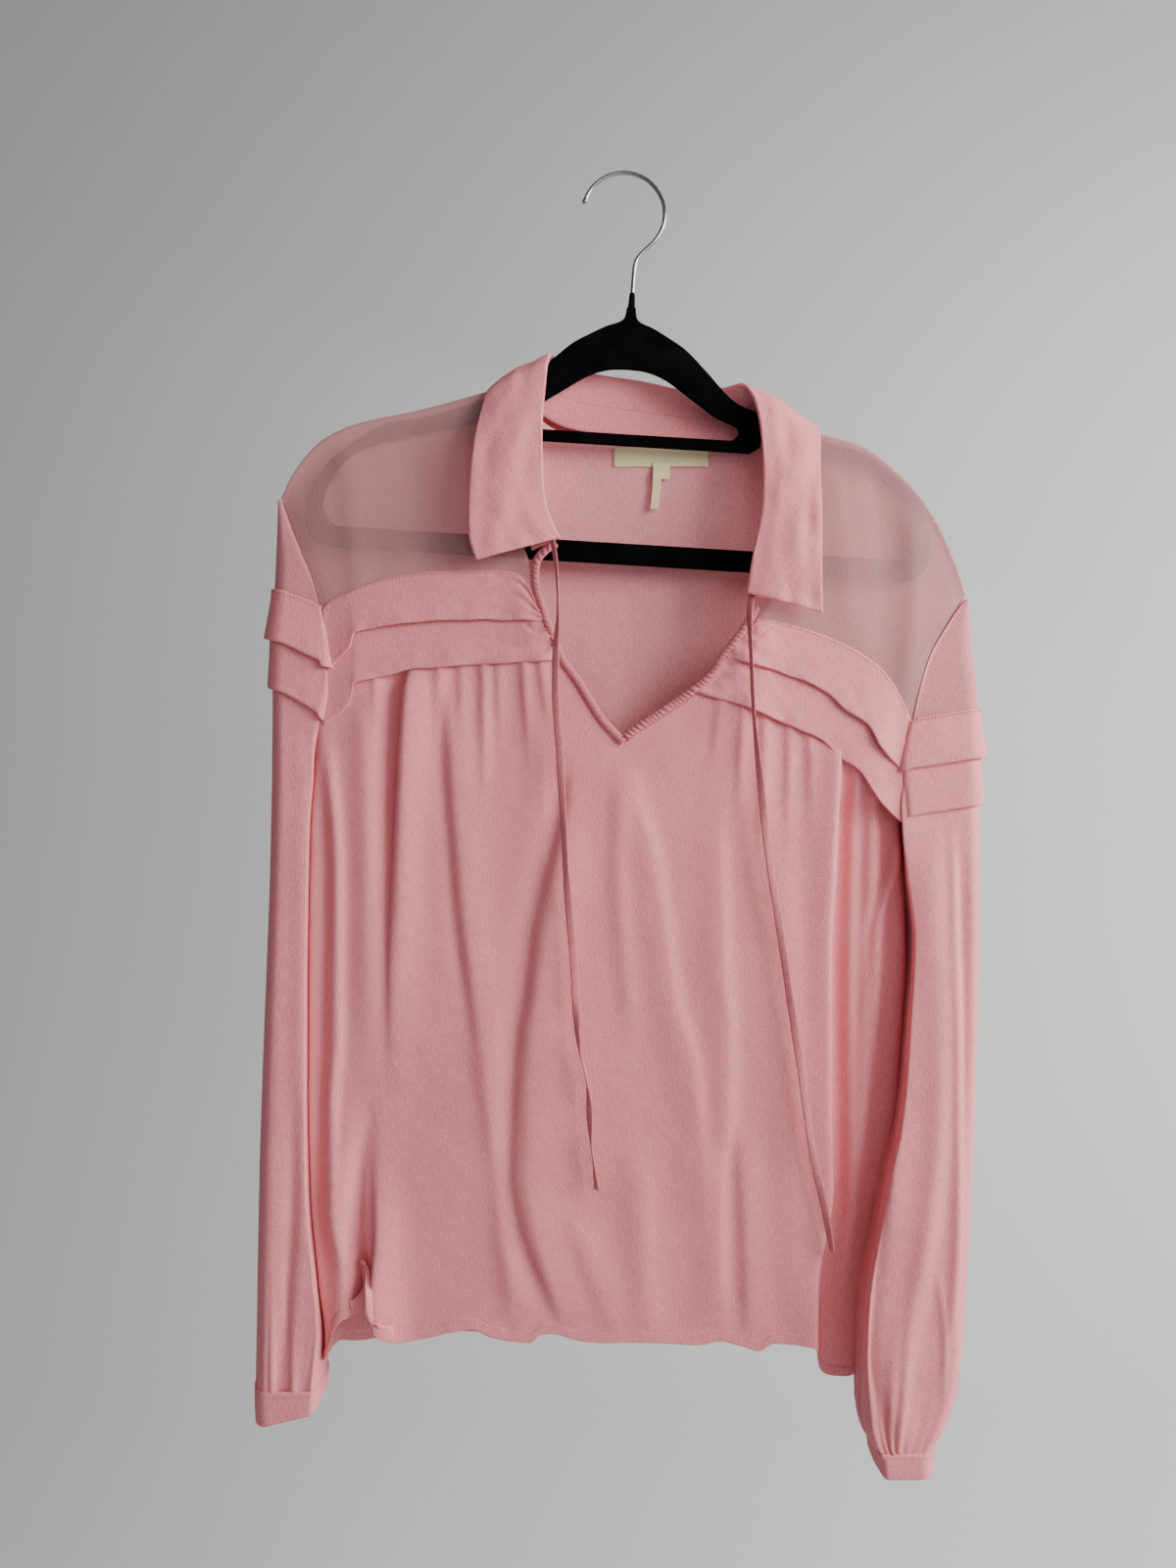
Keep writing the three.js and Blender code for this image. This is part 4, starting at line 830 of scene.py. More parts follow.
def sleeveGrid(u, v, topPair, bottomPair, rows, inner, folds):
    t = np.abs(2 * u - 1)
    top, bottom = mix(topPair[0], topPair[1], t), mix(bottomPair[0], bottomPair[1], t)
    z = mix(top[None], bottom[None], v[:, None])
    return sleevePoints(np.broadcast_to(u, z.shape), z, rows, inner, folds)


def movedOut(grid, facing, amount):
    return grid + gridNormals(grid) * facing * amount[..., None]


sleeveSides = {
    "left": {"rows": leftSleeve, "inner": leftSide, "folds": leftSleeveFolds, "facing": 1, "cap": -226.5,
             "seam": (-288, -303), "upper": (-321, -346), "lower": (-354, -381), "cuff": (-824, -824),
             "cuffBottom": (-849, -835), "seed": 70, "gather": 0.7,
             "capCut": (0.085, 0.075, 0.0034), "cut": (0.145, 0.54, 0.07),
             "tierCut": {"upper": (0.1, 0.038), "lower": (0.1, 0.044)}},
    "right": {"rows": rightSleeve, "inner": rightInner, "folds": rightSleeveFolds, "facing": -1, "cap": -295,
              "seam": (-370, -381), "upper": (-403, -415), "lower": (-434, -447), "cuff": (-857, -857),
              "cuffBottom": (-872.5, -872.5), "seed": 80, "gather": 1.5,
              "capCut": (0.105, 0.085, 0.0058), "cut": (0.175, 0.5, 0.08),
              "tierCut": {"upper": (0.12, 0.037), "lower": (0.12, 0.045)}},
}
sleeveGrids = {}


def places(name, start=0.0, end=1.0):
    return np.linspace(start, end, sleeve[name][0]), np.linspace(0, 1, sleeve[name][1])


def raised(pair, amount):
    return pair[0] + amount, pair[1] + amount


# The sleeve's gathers over the cuff: how far they stand out
def gathers(s, u, above):
    across, level = u[None], 0 * above
    drift = 1.1 * softNoise(s["seed"], across * 60, level, 7)
    wave = np.sin(2 * math.pi * (across * sleeve["gathers"] + drift))
    reach = sleeve["gatherReach"] * (1 + 0.7 * softNoise(s["seed"] + 5, across * 90, level, 5))
    size = np.maximum(0.1, 0.5 + 0.8 * softNoise(s["seed"] + 6, across * 90, level, 6))
    return s["gather"] * wave * size * np.exp(-(above / reach) ** 2)


for side, s in sleeveSides.items():
    shape, facing = (s["rows"], s["inner"]), s["facing"]
    cap = sleeveGrid(*places("capCells"), (s["cap"], s["cap"]), s["seam"], *shape, [])
    piece = shell(f"cloth_sleeve_cap_{side}", cap, facing, yoke["wall"], clothCap, shift=500)
    place(piece, [f"sleeve_cap_{side}"], "sheer_crepe", flat=s["capCut"][:2], area=s["capCut"][2])
    u, v = places("cells")
    tube = sleeveGrid(u, v, s["seam"], s["cuff"], *shape, s["folds"])
    tube = movedOut(tube, facing, gathers(s, u, tube[..., 2] - s["cuff"][0]))
    piece = shell(f"cloth_sleeve_{side}", tube, facing, sleeve["wall"], clothPink, shift=600)
    place(piece, [f"sleeve_{side}"], "crepe", flat=s["cut"][:2], area=s["cut"][2])
    u, v = places("cuffCells")
    cuff = sleeveGrid(u, v, raised(s["cuff"], sleeve["cuffGap"]), s["cuffBottom"], *shape, [])
    cuff = movedOut(cuff, facing, 0.5 + 0.35 * np.sin(math.pi * v)[:, None] + 0 * cuff[..., 0])
    piece = shell(f"cloth_cuff_{side}", cuff, facing, sleeve["cuffWall"], clothPink, shift=700)
    place(piece, [f"cuff_{side}"], "crepe", flat=sleeve["cuffFlat"])
    u, v = places("tierCells", 0.015, 0.935)
    lowerTop = raised(s["upper"], tier["overlap"])
    for name, top, flare in (("upper", s["seam"], 1), ("lower", lowerTop, sleeve["lowerFlare"])):
        band = sleeveGrid(u, v, top, s[name], *shape, [])
        down = v[:, None]
        wave = 0.7 * softNoise(s["seed"] + 3, u[None] * 100, 0 * band[..., 0], 9) * down ** 2
        rise = tier["rise"] + tier["flare"] * flare * down ** tier["flarePower"]
        band = movedOut(band, facing, rise + wave)
        piece = shell(f"cloth_sleeve_tier_{side}_{name}", band, facing, tier["wall"], clothPink, shift=800)
        place(piece, [f"sleeve_tier_{side}_{name}"], "crepe", flat=s["tierCut"][name])
        sleeveGrids[side, name] = band
        print("sleeve tier", side, name, round(sheetArea(band), 4))
    sleeveGrids[side, "cuff"] = cuff
    print("sleeve", side, [round(sheetArea(g), 4) for g in (cap, tube, cuff)])


# collar: the stand inside, the rolled top and the leaf outside, in one cloth
collarRows = table(
    "rollX rollY rollZ edgeX edgeY edgeZ seamX seamY seamZ",
    (-47, -31, -258, -101.5, -34, -273, -65, -21, -264), (-53, -31, -246, -106, -33, -257, -68, -19.5, -250),
    (-57, -30, -232, -106.5, -32, -239, -71, -16.5, -234),
    (-59, -28.5, -211, -105.5, -29, -214, -74, -12.8, -212),
    (-59.5, -24, -184, -103, -23, -187, -76, -9, -187), (-58, -16, -155, -99, -14, -165, -77, -6.2, -163),
    (-56, -7, -131.5, -96, -7, -152, -77, -4.6, -147), (-54, 1, -124.5, -93, 3, -146, -76, 0, -140.4),
    (-44, 10, -129, -80, 17, -162, -66, 9, -157), (-22, 16, -134, -44, 25, -183, -42, 13, -171),
    (9, 18, -138, 8, 28, -191, 6, 16, -177), (43, 16, -145, 60, 25, -198, 54, 15, -182),
    (65, 9, -146, 106, 17, -188, 89, 10.5, -179), (79, 0, -145, 130, 3, -172.5, 104, 0, -160.6),
    (87, -9, -156, 131.5, -8, -184, 105, -5, -172), (91, -19, -180, 130.5, -17, -199, 105, -7.5, -191),
    (92, -25, -204, 129.5, -24, -219, 104.5, -10.5, -211),
    (91.5, -28, -228, 129, -29, -244, 104, -13.5, -232),
    (88, -30, -252, 128.5, -32, -268, 101, -17, -255), (83, -31.5, -276, 128, -34, -291, 97, -20, -278),
    (80, -32, -295, 128.5, -35, -308, 91, -22, -297),
)
collarRows["at"] = np.linspace(0, 1, len(collarRows["rollX"]))
collar = {
    "wall": 1.4, "across": 240, "stand": 26, "roll": 9, "leaf": 44, "rollWide": 1.7, "bulge": 1.5,
    "wave": 0.35, "waveCell": 24, "ripple": 0.12, "rippleCell": 7, "crease": 1.15, "creaseCell": 15,
    "flat": (0.47, 0.085), "area": 0.034,
}


def station(name, u):
    return np.stack([sample(collarRows, "at", name + axis, u) for axis in "XYZ"], axis=-1)


def collarGrid():
    u = np.linspace(0, 1, collar["across"])
    roll, edge, seam = station("roll", u), station("edge", u), station("seam", u)
    normal = unit(np.cross(np.gradient(roll, axis=0), edge - roll))
    rise = unit(roll - edge)
    rows = []
    inner = roll - normal * collar["rollWide"]
    for v in np.linspace(0, 1, collar["stand"])[:-1]:
        rows.append(mix(seam, inner, v))
    for turn in np.linspace(0, math.pi, collar["roll"])[:-1]:
        middle = roll - normal * collar["rollWide"] / 2
        rows.append(middle + collar["rollWide"] / 2 * (-normal * math.cos(turn) + rise * math.sin(turn)))
    for v in np.linspace(0, 1, collar["leaf"]):
        around, level = u * 520, 0 * u + v * 60
        along, down = u * 430, v * 44
        bulge = collar["bulge"] * math.sin(math.pi * v)
        bulge = bulge + collar["wave"] * softNoise(91, around, level, collar["waveCell"])
        bulge = bulge + collar["ripple"] * softNoise(92, around, level, collar["rippleCell"])
        creases = softNoise(93, 0.55 * along + down, 1.3 * down - 0.4 * along, collar["creaseCell"])
        bulge = bulge + collar["crease"] * smooth(0, 0.3, v) * creases
        rows.append(mix(roll, edge, v) + normal * bulge[:, None])
    return np.array(rows)


collarCloth = collarGrid()
piece = shell("cloth_collar", collarCloth, 1, collar["wall"], clothPink, shift=900)
place(piece, ["collar", "collar_stand"], "crepe", flat=collar["flat"], area=collar["area"])
print("collar", round(sheetArea(collarCloth), 4))


# binding of the V neck: a gathered casing beside the front's edge
openings = {
    "left": table("x z", (-47.5, -262.5), (-54, -266.5), (-59.5, -274), (-60, -289), (-55.5, -304),
                  (-50, -319), (-42.5, -337), (-31.5, -352.5), (-17, -376), (-5.2, -389), (-1.8, -392.4)),
    "right": table("x z", (84, -302), (75, -318), (62, -334.5), (55.5, -345.5), (42, -357.5),
                   (22.5, -371), (3.5, -383.5), (-3.2, -388.2)),
}
binding = {
    "wide": 5.2, "wall": 0.8, "crown": 0.9, "rise": 1.3, "pitch": 3.3, "pucker": 0.5, "across": 15,
    "slant": 0.7, "left": {"flat": (0.16, 0.0101), "area": 0.0012},
    "right": {"flat": (0.145, 0.0101), "area": 0.001},
}


def splineThrough(points, step):
    points = np.array(points, float)
    padded = np.concatenate([2 * points[:1] - points[1:2], points, 2 * points[-1:] - points[-2:-1]])
    result = []
    for k in range(len(points) - 1):
        a, b, c, d = padded[k:k + 4]
        count = max(2, int(round(np.linalg.norm(c - b) / step)))
        t = np.linspace(0, 1, count, endpoint=False)[:, None]
        result.append(0.5 * (2 * b + (c - a) * t + (2 * a - 5 * b + 4 * c - d) * t ** 2
                             + (3 * b - a - 3 * c + d) * t ** 3))
    return np.concatenate(result + [points[-1:]])


def heading(line):
    return unit(np.gradient(line, axis=0))


def lengthAlong(line):
    return np.concatenate([[0], np.cumsum(np.linalg.norm(np.diff(line, axis=0), axis=1))])


bindingGrids = {}
for side, away in (("left", -1), ("right", 1)):
    rows = openings[side]
    line = splineThrough(np.stack([rows["x"], rows["z"]], axis=1), 0.6)
    tangent = heading(line)
    sideways = np.stack([-tangent[:, 1], tangent[:, 0]], axis=1) * away
    length = lengthAlong(line)
    v = np.linspace(0, 1, binding["across"])
    spot = line[None] + sideways[None] * (binding["wide"] * v)[:, None, None]
    phase = length[None] / binding["pitch"] + 0.5 * softNoise(95, length, 0 * length, 6)[None]
    ripple = np.sin(2 * math.pi * (phase + binding["slant"] * v[:, None]))
    size = 1 + 0.6 * softNoise(96, length, 0 * length, 8)[None]
    crown = np.sin(math.pi * v)[:, None] ** 0.6
    lift = binding["rise"] * (0.45 + 0.55 * crown) + binding["crown"] * crown
    lift = lift + binding["pucker"] * ripple * size * crown
    y = -standOff(spot[..., 0], spot[..., 1], "front") - lift
    grid = np.stack([spot[..., 0], y, spot[..., 1]], axis=-1)
    bindingGrids[side] = grid
    piece = shell(f"cloth_binding_{side}", grid, away, binding["wall"], clothTieDenseShade, shift=950)
    place(piece, [f"neck_binding_{side}"], "crepe", held="gathered", **binding[side])
    print("binding", side, round(sheetArea(grid), 5))


# ties: flat stitched cords with a slow twist
ties = {
    "wide": 2.6, "thick": 0.8, "sides": 16, "step": 2.2,
    "left": [(-52.5, -26.5, -255), (-50.5, -29.5, -262), (-49, -33.5, -271), (-48, -36.5, -281),
             (-47.3, -37.8, -292), (-47, -38.5, -310), (-48.5, -39.5, -336), (-48.5, -40, -366),
             (-46, -40, -400), (-43.5, -40, -445), (-41, -40, -490), (-37, -40, -535), (-35.5, -40, -560),
             (-33.5, -40, -593), (-29, -40, -612), (-26.5, -40, -632), (-25.5, -40, -655),
             (-23.5, -40, -672), (-21.5, -40, -690)],
    "right": [(84, -27, -292), (82.2, -29.5, -299), (80.6, -34, -307), (79.9, -37.2, -316),
              (80.4, -38.8, -330), (82.5, -39.5, -378), (87, -40, -424), (92, -40, -470), (98, -40, -508),
              (105, -40, -556), (113.5, -40, -612), (121, -40, -665), (128.5, -40, -700), (134, -40, -731)],
    # how far the flat side has turned at a height, in degrees
    "leftTwist": table("z turn", (-268, 60), (-300, 80), (-340, 30), (-400, 10), (-470, 40), (-500, 15),
                       (-560, -10), (-590, 60), (-612, 100), (-640, 40), (-665, 90), (-690, 50)),
    "rightTwist": table("z turn", (-300, 40), (-330, 70), (-378, 75), (-424, 30), (-470, -10), (-556, 20),
                        (-640, -15), (-700, 25), (-731, 60)),
}


# The line's own way, and the two ways square to it
def lineWays(line):
    tangent = heading(line)
    sideways = unit(np.cross(tangent, [0.0, 1.0, 0.0]))
    return tangent, sideways, np.cross(tangent, sideways)


def tieGrid(route, twist, seed):
    line = splineThrough(route, ties["step"])
    tangent, sideways, forward = lineWays(line)
    turn = np.radians(sample(twist, "z", "turn", line[:, 2]))
    wideWay = sideways * np.cos(turn)[:, None] + forward * np.sin(turn)[:, None]
    thinWay = np.cross(tangent, wideWay)
    rings = []
    wideNoise = 1 + 0.05 * softNoise(seed, line[:, 2], 0 * turn, 5)
    thinNoise = 0.12 * softNoise(seed + 1, line[:, 2], 0 * turn, 4)
    for k in range(ties["sides"]):
        angle = 2 * math.pi * k / ties["sides"]
        c, s = math.cos(angle), math.sin(angle)
        wide = np.sign(c) * abs(c) ** 0.8 * ties["wide"] * wideNoise
        thin = np.sign(s) * abs(s) ** 0.7 * ties["thick"] * (1 - 0.18 * (c > 0.6) + thinNoise)
        rings.append(line + wideWay * wide[:, None] + thinWay * thin[:, None])
    return line, wideWay, thinWay, np.stack(rings, axis=1)


def tubeObject(name, rings, material):
    count, sides = rings.shape[:2]
    total = count * sides
    points = np.concatenate([rings.reshape(-1, 3), [rings[0].mean(axis=0), rings[-1].mean(axis=0)]])
    around = [(i, (i + 1) % sides) for i in range(sides)]
    faces = [(j + i, j + k, j + sides + k, j + sides + i)
             for j in range(0, total - sides, sides) for i, k in around]
    for i, k in around:
        faces.append((k, i, total))
        faces.append((total - sides + i, total - sides + k, total + 1))
    spot = np.minimum(np.arange(total + 2), total - 1)
    uv = np.stack([0.6 * (spot % sides), 2.2 * (spot // sides)], axis=1)
    return meshObject(name, points, faces, uv, material)


def outwards(obj, merge=0.0):
    work = bmesh.new()
    work.from_mesh(obj.data)
    if merge:
        bmesh.ops.remove_doubles(work, verts=work.verts, dist=merge)
    bmesh.ops.recalc_face_normals(work, faces=work.faces)
    work.to_mesh(obj.data)
    work.free()


tieLines = {}
for side in ("left", "right"):
    line, wideWay, thinWay, rings = tieGrid(ties[side], ties[side + "Twist"], 100 if side == "left" else 110)
    tieLines[side] = (line, wideWay, thinWay)
    piece = tubeObject(f"cord_tie_{side}", rings, clothTieDenseShade)
    outwards(piece)
    length = float(lengthAlong(line)[-1]) * mm
    place(piece, [f"tie_{side}"], "crepe")
    print("tie", side, round(length, 3))


# labels, bare
labels = {
    "label_main": {"left": -9, "right": 57, "top": -186, "bottom": -199, "forward": 1.5, "curl": 0.3,
                   "swing": 0},
    "label_size": {"left": 18.5, "right": 30, "top": -196.5, "bottom": -208, "forward": 2.9, "curl": 0.4,
                   "swing": 0},
    "label_loop": {"left": 18.5, "right": 24, "top": -203, "bottom": -229, "forward": 4.3, "curl": 0.8,
                   "swing": -2},
}
labelCut = {"cells": (40, 30), "wall": 0.5, "least": 0.0101, "areaShare": 0.31}
for name, label in labels.items():
    u, v = np.meshgrid(*(np.linspace(0, 1, count) for count in labelCut["cells"]))
    x = mix(label["left"], label["right"], u) + label["swing"] * v * v
    z = mix(label["top"], label["bottom"], v)
    y = standOff(x, z, "back") - label["forward"] - label["curl"] * v * v - 0.2 * softNoise(7, x, z, 9)
    grid = np.stack([x, y, z], axis=-1)
    piece = shell(name.replace("label", "ribbon"), grid, -1, labelCut["wall"], ribbonCream)
    wide, high = (label["right"] - label["left"]) * mm, (label["top"] - label["bottom"]) * mm
    least = labelCut["least"]
    place(piece, [name], "label", flat=(max(wide, least), max(high, least)),
          area=None if min(wide, high) > least else max(wide * high, labelCut["areaShare"] * least * high))
print("labels")


# hanger: flocked plate with rounded edges, bright hook
hanger = {
    "tilt": 3.5, "centre": 8.5, "half": 2.3, "round": 1.1, "wire": 1.45, "step": 3,
    "merge": 0.00002, "sharp": 50,
    "top": [(3.2, -92), (4.2, -99), (8, -102.5), (16, -105.5), (28, -112), (40, -119.5), (54, -132.5),
            (75, -152.5), (95, -160.5), (135, -175.5), (165, -183), (188, -198), (205, -214), (214, -231),
            (217, -248), (213, -263), (203, -270)],
    "upperHole": [(0, -134.5), (13, -135.5), (27, -140.5), (46, -153), (62, -163.5), (78, -170.5),
                  (79, -176), (75, -179.8)],
    "lowerHole": [(88, -187.6), (95, -183), (100, -178), (155, -192), (184, -203), (198, -219),
                  (205, -236), (203, -248), (195, -255.4)],
}


def tilted(points):
    a = math.radians(hanger["tilt"])
    x, y, z = points[..., 0], points[..., 1], points[..., 2]
    return np.stack([x * math.cos(a) + z * math.sin(a), y, z * math.cos(a) - x * math.sin(a)], axis=-1)


def mirroredLine(rows):
    side = splineThrough(rows, hanger["step"])
    right = side * [1, 1] + [hanger["centre"], 0]
    left = side[::-1] * [-1, 1] + [hanger["centre"], 0]
    if rows[0][0] == 0:
        left = left[:-1]
    return np.concatenate([right, left])


def flatPlate(name, outlines, material):
    data = bpy.data.curves.new(name, "CURVE")
    data.dimensions = "2D"
    data.fill_mode = "BOTH"
    data.extrude = (hanger["half"] - hanger["round"]) * mm
    data.bevel_depth = hanger["round"] * mm
    data.bevel_resolution = 3
    data.offset = -hanger["round"] * mm
    for outline in outlines:
        spline = data.splines.new("POLY")
        spline.points.add(len(outline) - 1)
        for k, (x, z) in enumerate(outline):
            spline.points[k].co = (x * mm, z * mm, 0, 1)
        spline.use_cyclic_u = True
    obj = linked(name + "_flat", data)
    depsgraph = bpy.context.evaluated_depsgraph_get()
    mesh = bpy.data.meshes.new_from_object(obj.evaluated_get(depsgraph))
    bpy.data.objects.remove(obj)
    flat = np.empty(len(mesh.vertices) * 3)
    mesh.vertices.foreach_get("co", flat)
    flat = flat.reshape(-1, 3) / mm
    points = tilted(np.stack([flat[:, 0], -flat[:, 2], flat[:, 1]], axis=-1))
    mesh.vertices.foreach_set("co", (points * mm).ravel())
    mesh.materials.clear()
    mesh.materials.append(material)
    smoothFaces(mesh)
    piece = linked(name, mesh)
    outwards(piece, hanger["merge"])
    mesh.set_sharp_from_angle(angle=math.radians(hanger["sharp"]))
    return piece


plateLines = [mirroredLine(hanger[name]) for name in ("top", "upperHole", "lowerHole")]
plate = flatPlate("hanger_plate", plateLines, flockBlack)
place(plate, ["hanger_body"], "flocking")

hook = {
    "radius": 28.4, "centreX": -0.7, "centreZ": -26.9, "start": 170, "end": -46, "ball": 2.0, "step": 1.1,
    "neck": [(12.6, 0, -54.5), (9.4, 0, -60.5), (8.7, 0, -70), (8.5, 0, -91.7)],
}
ferrule = {"top": -81.5, "bottom": -93, "rows": 14, "rim": 1.5, "neck": 1.9, "foot": 2.5}


def roundTube(name, line, radii, sides, material):
    _, across, depth = lineWays(line)
    angle = 2 * math.pi * np.arange(sides) / sides
    ring = across[:, None] * np.cos(angle)[None, :, None] + depth[:, None] * np.sin(angle)[None, :, None]
    piece = tubeObject(name, tilted(line[:, None] + ring * radii[:, None, None]), material)
    outwards(piece)
    return piece


angles = np.radians(np.linspace(hook["start"], hook["end"], 40))
hookLine = [(hook["centreX"] + hook["radius"] * math.cos(a), 0,
             hook["centreZ"] + hook["radius"] * math.sin(a)) for a in angles]
line = splineThrough(hookLine + hook["neck"], hook["step"])
reach = lengthAlong(line)
ballShape = np.sqrt(np.clip(1 - ((reach - hook["ball"]) / hook["ball"]) ** 2, 0, 1)) * hook["ball"]
radii = np.maximum(np.where(reach > hook["ball"], hanger["wire"], 0.2), ballShape)
place(roundTube("hook_wire", line, radii, 20, wireBright), ["hanger_hook"], "hook")
heights = np.linspace(ferrule["top"], ferrule["bottom"], ferrule["rows"])
line = np.array([(hanger["centre"], 0, z) for z in heights])
radii = mix(ferrule["neck"], ferrule["foot"], smooth(0, 1, np.linspace(0, 1, ferrule["rows"])))
radii[0] = ferrule["rim"]
place(roundTube("hook_ferrule", line, radii, 24, flockBlack), [], "flocking")
print("hanger")


# stitches: short threads along the seams, laid by one node tree
def stitchTree():
    tree = bpy.data.node_groups.new("stitch run", "GeometryNodeTree")
    face = tree.interface
    face.new_socket("Geometry", in_out="INPUT", socket_type="NodeSocketGeometry")
    for name, value in (("Spacing", 0.0024), ("Length", 0.0015), ("Width", 0.0004), ("Height", 0.0003)):
        socket = face.new_socket(name, in_out="INPUT", socket_type="NodeSocketFloat")
        socket.default_value = value
    face.new_socket("Thread", in_out="INPUT", socket_type="NodeSocketMaterial")
    face.new_socket("Geometry", in_out="OUTPUT", socket_type="NodeSocketGeometry")
    nodes = tree.nodes
    start, end = nodes.new("NodeGroupInput"), nodes.new("NodeGroupOutput")
    curve = nodes.new("GeometryNodeMeshToCurve")
    resample = makeNode(nodes, "GeometryNodeResampleCurve", mode="LENGTH")
    grain = makeNode(nodes, "GeometryNodeMeshIcoSphere", Radius=0.5, Subdivisions=1)
    size = nodes.new("ShaderNodeCombineXYZ")
    tangent = nodes.new("GeometryNodeInputTangent")
    lie = makeNode(nodes, "GeometryNodeInputNamedAttribute", data_type="FLOAT_VECTOR", Name="lie")
    along = makeNode(nodes, "FunctionNodeAlignRotationToVector", axis="X")
    flat = makeNode(nodes, "FunctionNodeAlignRotationToVector", axis="Z", pivot_axis="X")
    instance = nodes.new("GeometryNodeInstanceOnPoints")
    real = nodes.new("GeometryNodeRealizeInstances")
    paint = nodes.new("GeometryNodeSetMaterial")
    for axis, name in zip("XYZ", ("Length", "Width", "Height")):
        wire(start, name, size, axis)
    wires = [
        (start, "Geometry", curve, "Mesh"), (curve, "Curve", resample, "Curve"),
        (start, "Spacing", resample, "Length"), (tangent, "Tangent", along, "Vector"),
        (along, "Rotation", flat, "Rotation"), (lie, "Attribute", flat, "Vector"),
        (resample, "Curve", instance, "Points"), (grain, "Mesh", instance, "Instance"),
        (flat, "Rotation", instance, "Rotation"), (size, "Vector", instance, "Scale"),
        (instance, "Instances", real, "Geometry"), (real, "Geometry", paint, "Geometry"),
        (start, "Thread", paint, "Material"), (paint, "Geometry", end, "Geometry"),
    ]
    for ends in wires:
        wire(*ends)
    return tree


stitchNodes = stitchTree()


def stitches(name, runs, spacing, length, width, height):
    points, normals, edges = [], [], []
    for line, normal in runs:
        first = sum(len(p) for p in points)
        edges += [(first + k, first + k + 1) for k in range(len(line) - 1)]
        points.append(line)
        normals.append(normal)
    mesh = bpy.data.meshes.new(name)
    mesh.from_pydata((np.concatenate(points) * mm).tolist(), edges, [])
    attribute = mesh.attributes.new("lie", "FLOAT_VECTOR", "POINT")
    attribute.data.foreach_set("vector", np.concatenate(normals).ravel())
    holder = linked(name + "_line", mesh)
    modifier = holder.modifiers.new("stitches", "NODES")
    modifier.node_group = stitchNodes
    values = {"Spacing": spacing * mm, "Length": length * mm, "Width": width * mm, "Height": height * mm,
              "Thread": threadPink}
    for item in stitchNodes.interface.items_tree:
        if item.in_out == "INPUT" and item.name in values:
            modifier[item.identifier] = values[item.name]
    holder.update_tag()
    depsgraph = bpy.context.evaluated_depsgraph_get()
    result = bpy.data.meshes.new_from_object(holder.evaluated_get(depsgraph))
    holder.modifiers.remove(modifier)
    bpy.data.objects.remove(holder)
    smoothFaces(result)
    place(linked(name, result), [], "crepe")


# A row of a grid of cloth, moved out to the cloth's outer face
def rowRun(grid, row, facing, wall, keep=slice(None), proud=0.1):
    normal = gridNormals(grid) * facing
    return (grid[row] + normal[row] * (wall / 2 + proud))[keep], normal[row][keep]


hemRuns = [rowRun(frontGrid, -6, -1, bodyCloth["wall"]), rowRun(backGrid, -6, 1, bodyCloth["wall"])]
seamRuns = [rowRun(tierGrids[name], 1, -1, tier["wall"]) for name in ("left_upper", "right_upper")]
seamRuns += [rowRun(sleeveGrids[side, "upper"], 1, s["facing"], tier["wall"])
             for side, s in sleeveSides.items()]
cuffRuns = [rowRun(sleeveGrids[side, "cuff"], 2, s["facing"], sleeve["cuffWall"])
            for side, s in sleeveSides.items()]
collarRuns = [rowRun(collarCloth, 12, facing, collar["wall"], slice(30, 210)) for facing in (1, -1)]
bindingRuns = [rowRun(bindingGrids[side], binding["across"] - 2, away, binding["wall"])
               for side, away in (("left", -1), ("right", 1))]
tieRuns = [(line + wideWay * (ties["wide"] - 0.9) + thinWay * (ties["thick"] * 0.75), thinWay)
           for line, wideWay, thinWay in tieLines.values()]
# each run's spacing, then its threads' length, width and height
stitchRuns = {
    "hem": (hemRuns, 3.0, 2.2, 0.35, 0.3), "tier_seams": (seamRuns, 2.4, 0.7, 1.5, 0.6),
    "cuffs": (cuffRuns, 2.6, 1.9, 0.35, 0.3), "collar_stand": (collarRuns, 2.6, 1.9, 0.5, 0.5),
    "binding": (bindingRuns, 2.4, 1.7, 0.35, 0.3), "ties": (tieRuns, 1.7, 1.15, 0.3, 0.3),
}
for name, run in stitchRuns.items():
    stitches(f"stitches_{name}", *run)
print("stitches")


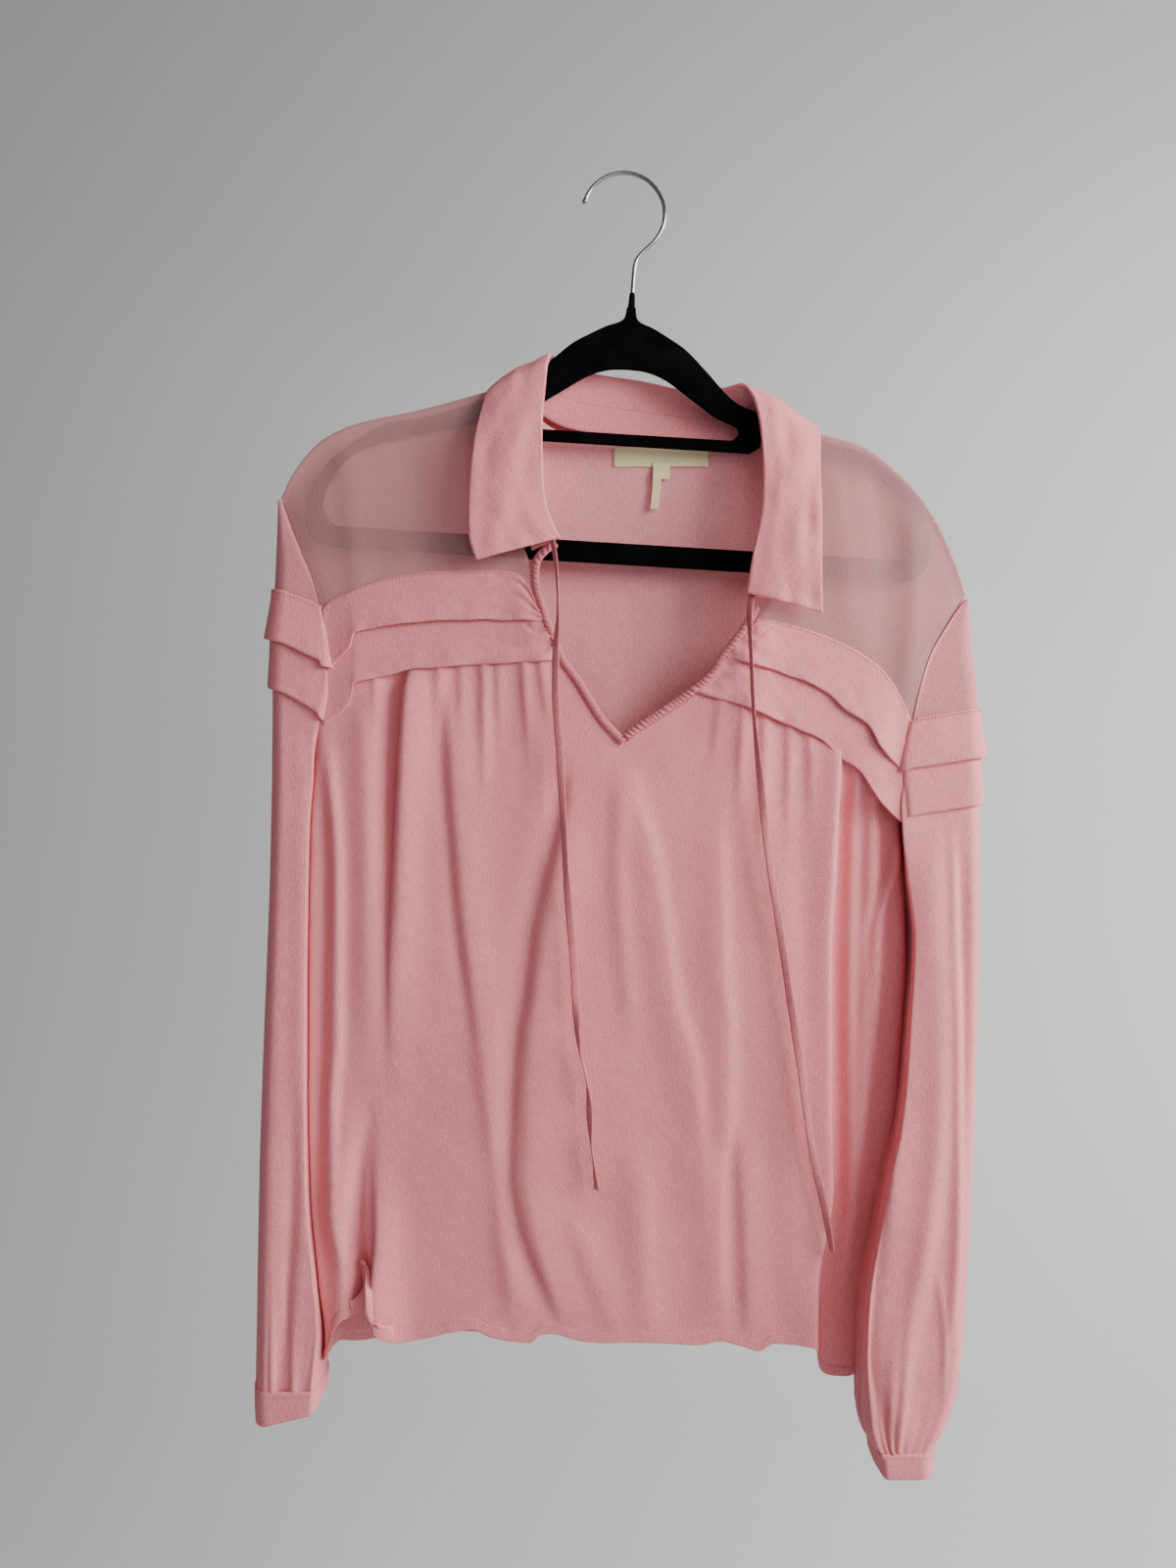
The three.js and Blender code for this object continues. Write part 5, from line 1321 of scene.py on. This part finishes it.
# pale studio sweep, soft light from the right
studio = {"floor": -1.5, "back": 2.4, "bend": 1.2, "half": 6.0, "front": -5.0, "top": 5.0,
          "colour": (0.60, 0.60, 0.60), "sky": (0.9, 0.93, 0.95, 1), "skyStrength": 0.22}


def studioSweep():
    profile = [(studio["front"], studio["floor"])]
    for turn in np.linspace(0, math.pi / 2, 24):
        profile.append((studio["back"] - studio["bend"] * (1 - math.sin(turn)),
                        studio["floor"] + studio["bend"] * (1 - math.cos(turn))))
    profile.append((studio["back"], studio["top"]))
    verts = [(side * studio["half"], y, z) for y, z in profile for side in (-1, 1)]
    faces = [(2 * k, 2 * k + 1, 2 * k + 3, 2 * k + 2) for k in range(len(profile) - 1)]
    mesh = bpy.data.meshes.new("sweep")
    mesh.from_pydata(verts, [], faces)
    smoothFaces(mesh)
    material, _, body = newMaterial("pale sweep")
    fill(body, {"Base Color": (*studio["colour"], 1), "Roughness": 0.9})
    mesh.materials.append(material)
    linked("sweep", mesh)


def areaLight(name, place, aim, size, power, colour):
    data = bpy.data.lights.new(name, "AREA")
    data.shape = "RECTANGLE"
    data.size, data.size_y = size
    data.energy = power
    data.color = colour
    obj = linked(name, data)
    obj.location = place
    obj.rotation_euler = (Vector(aim) - Vector(place)).to_track_quat("-Z", "Y").to_euler()
    obj.visible_camera = False


studioSweep()
areaLight("key", (1.2, -0.78, 0.12), (0.05, 0, -0.4), (0.8, 0.8), 29, (1.0, 0.985, 0.96))
areaLight("fill", (0.9, -2.35, 0.1), (0, 0, -0.4), (1.6, 1.6), 16, (0.97, 0.98, 1.0))
areaLight("behind", (0.6, 1.9, 1.0), (0, 0, -0.5), (1.6, 1.0), 18, (1.0, 1.0, 1.0))
areaLight("backdrop", (3.0, -0.3, 0.4), (1.8, 2.4, -0.9), (1.6, 1.6), 140, (1.0, 0.985, 0.965))
world = bpy.data.worlds.new("soft grey")
world.use_nodes = True
fill(world.node_tree.nodes["Background"], {"Color": studio["sky"], "Strength": studio["skyStrength"]})
scene.world = world
print("studio")
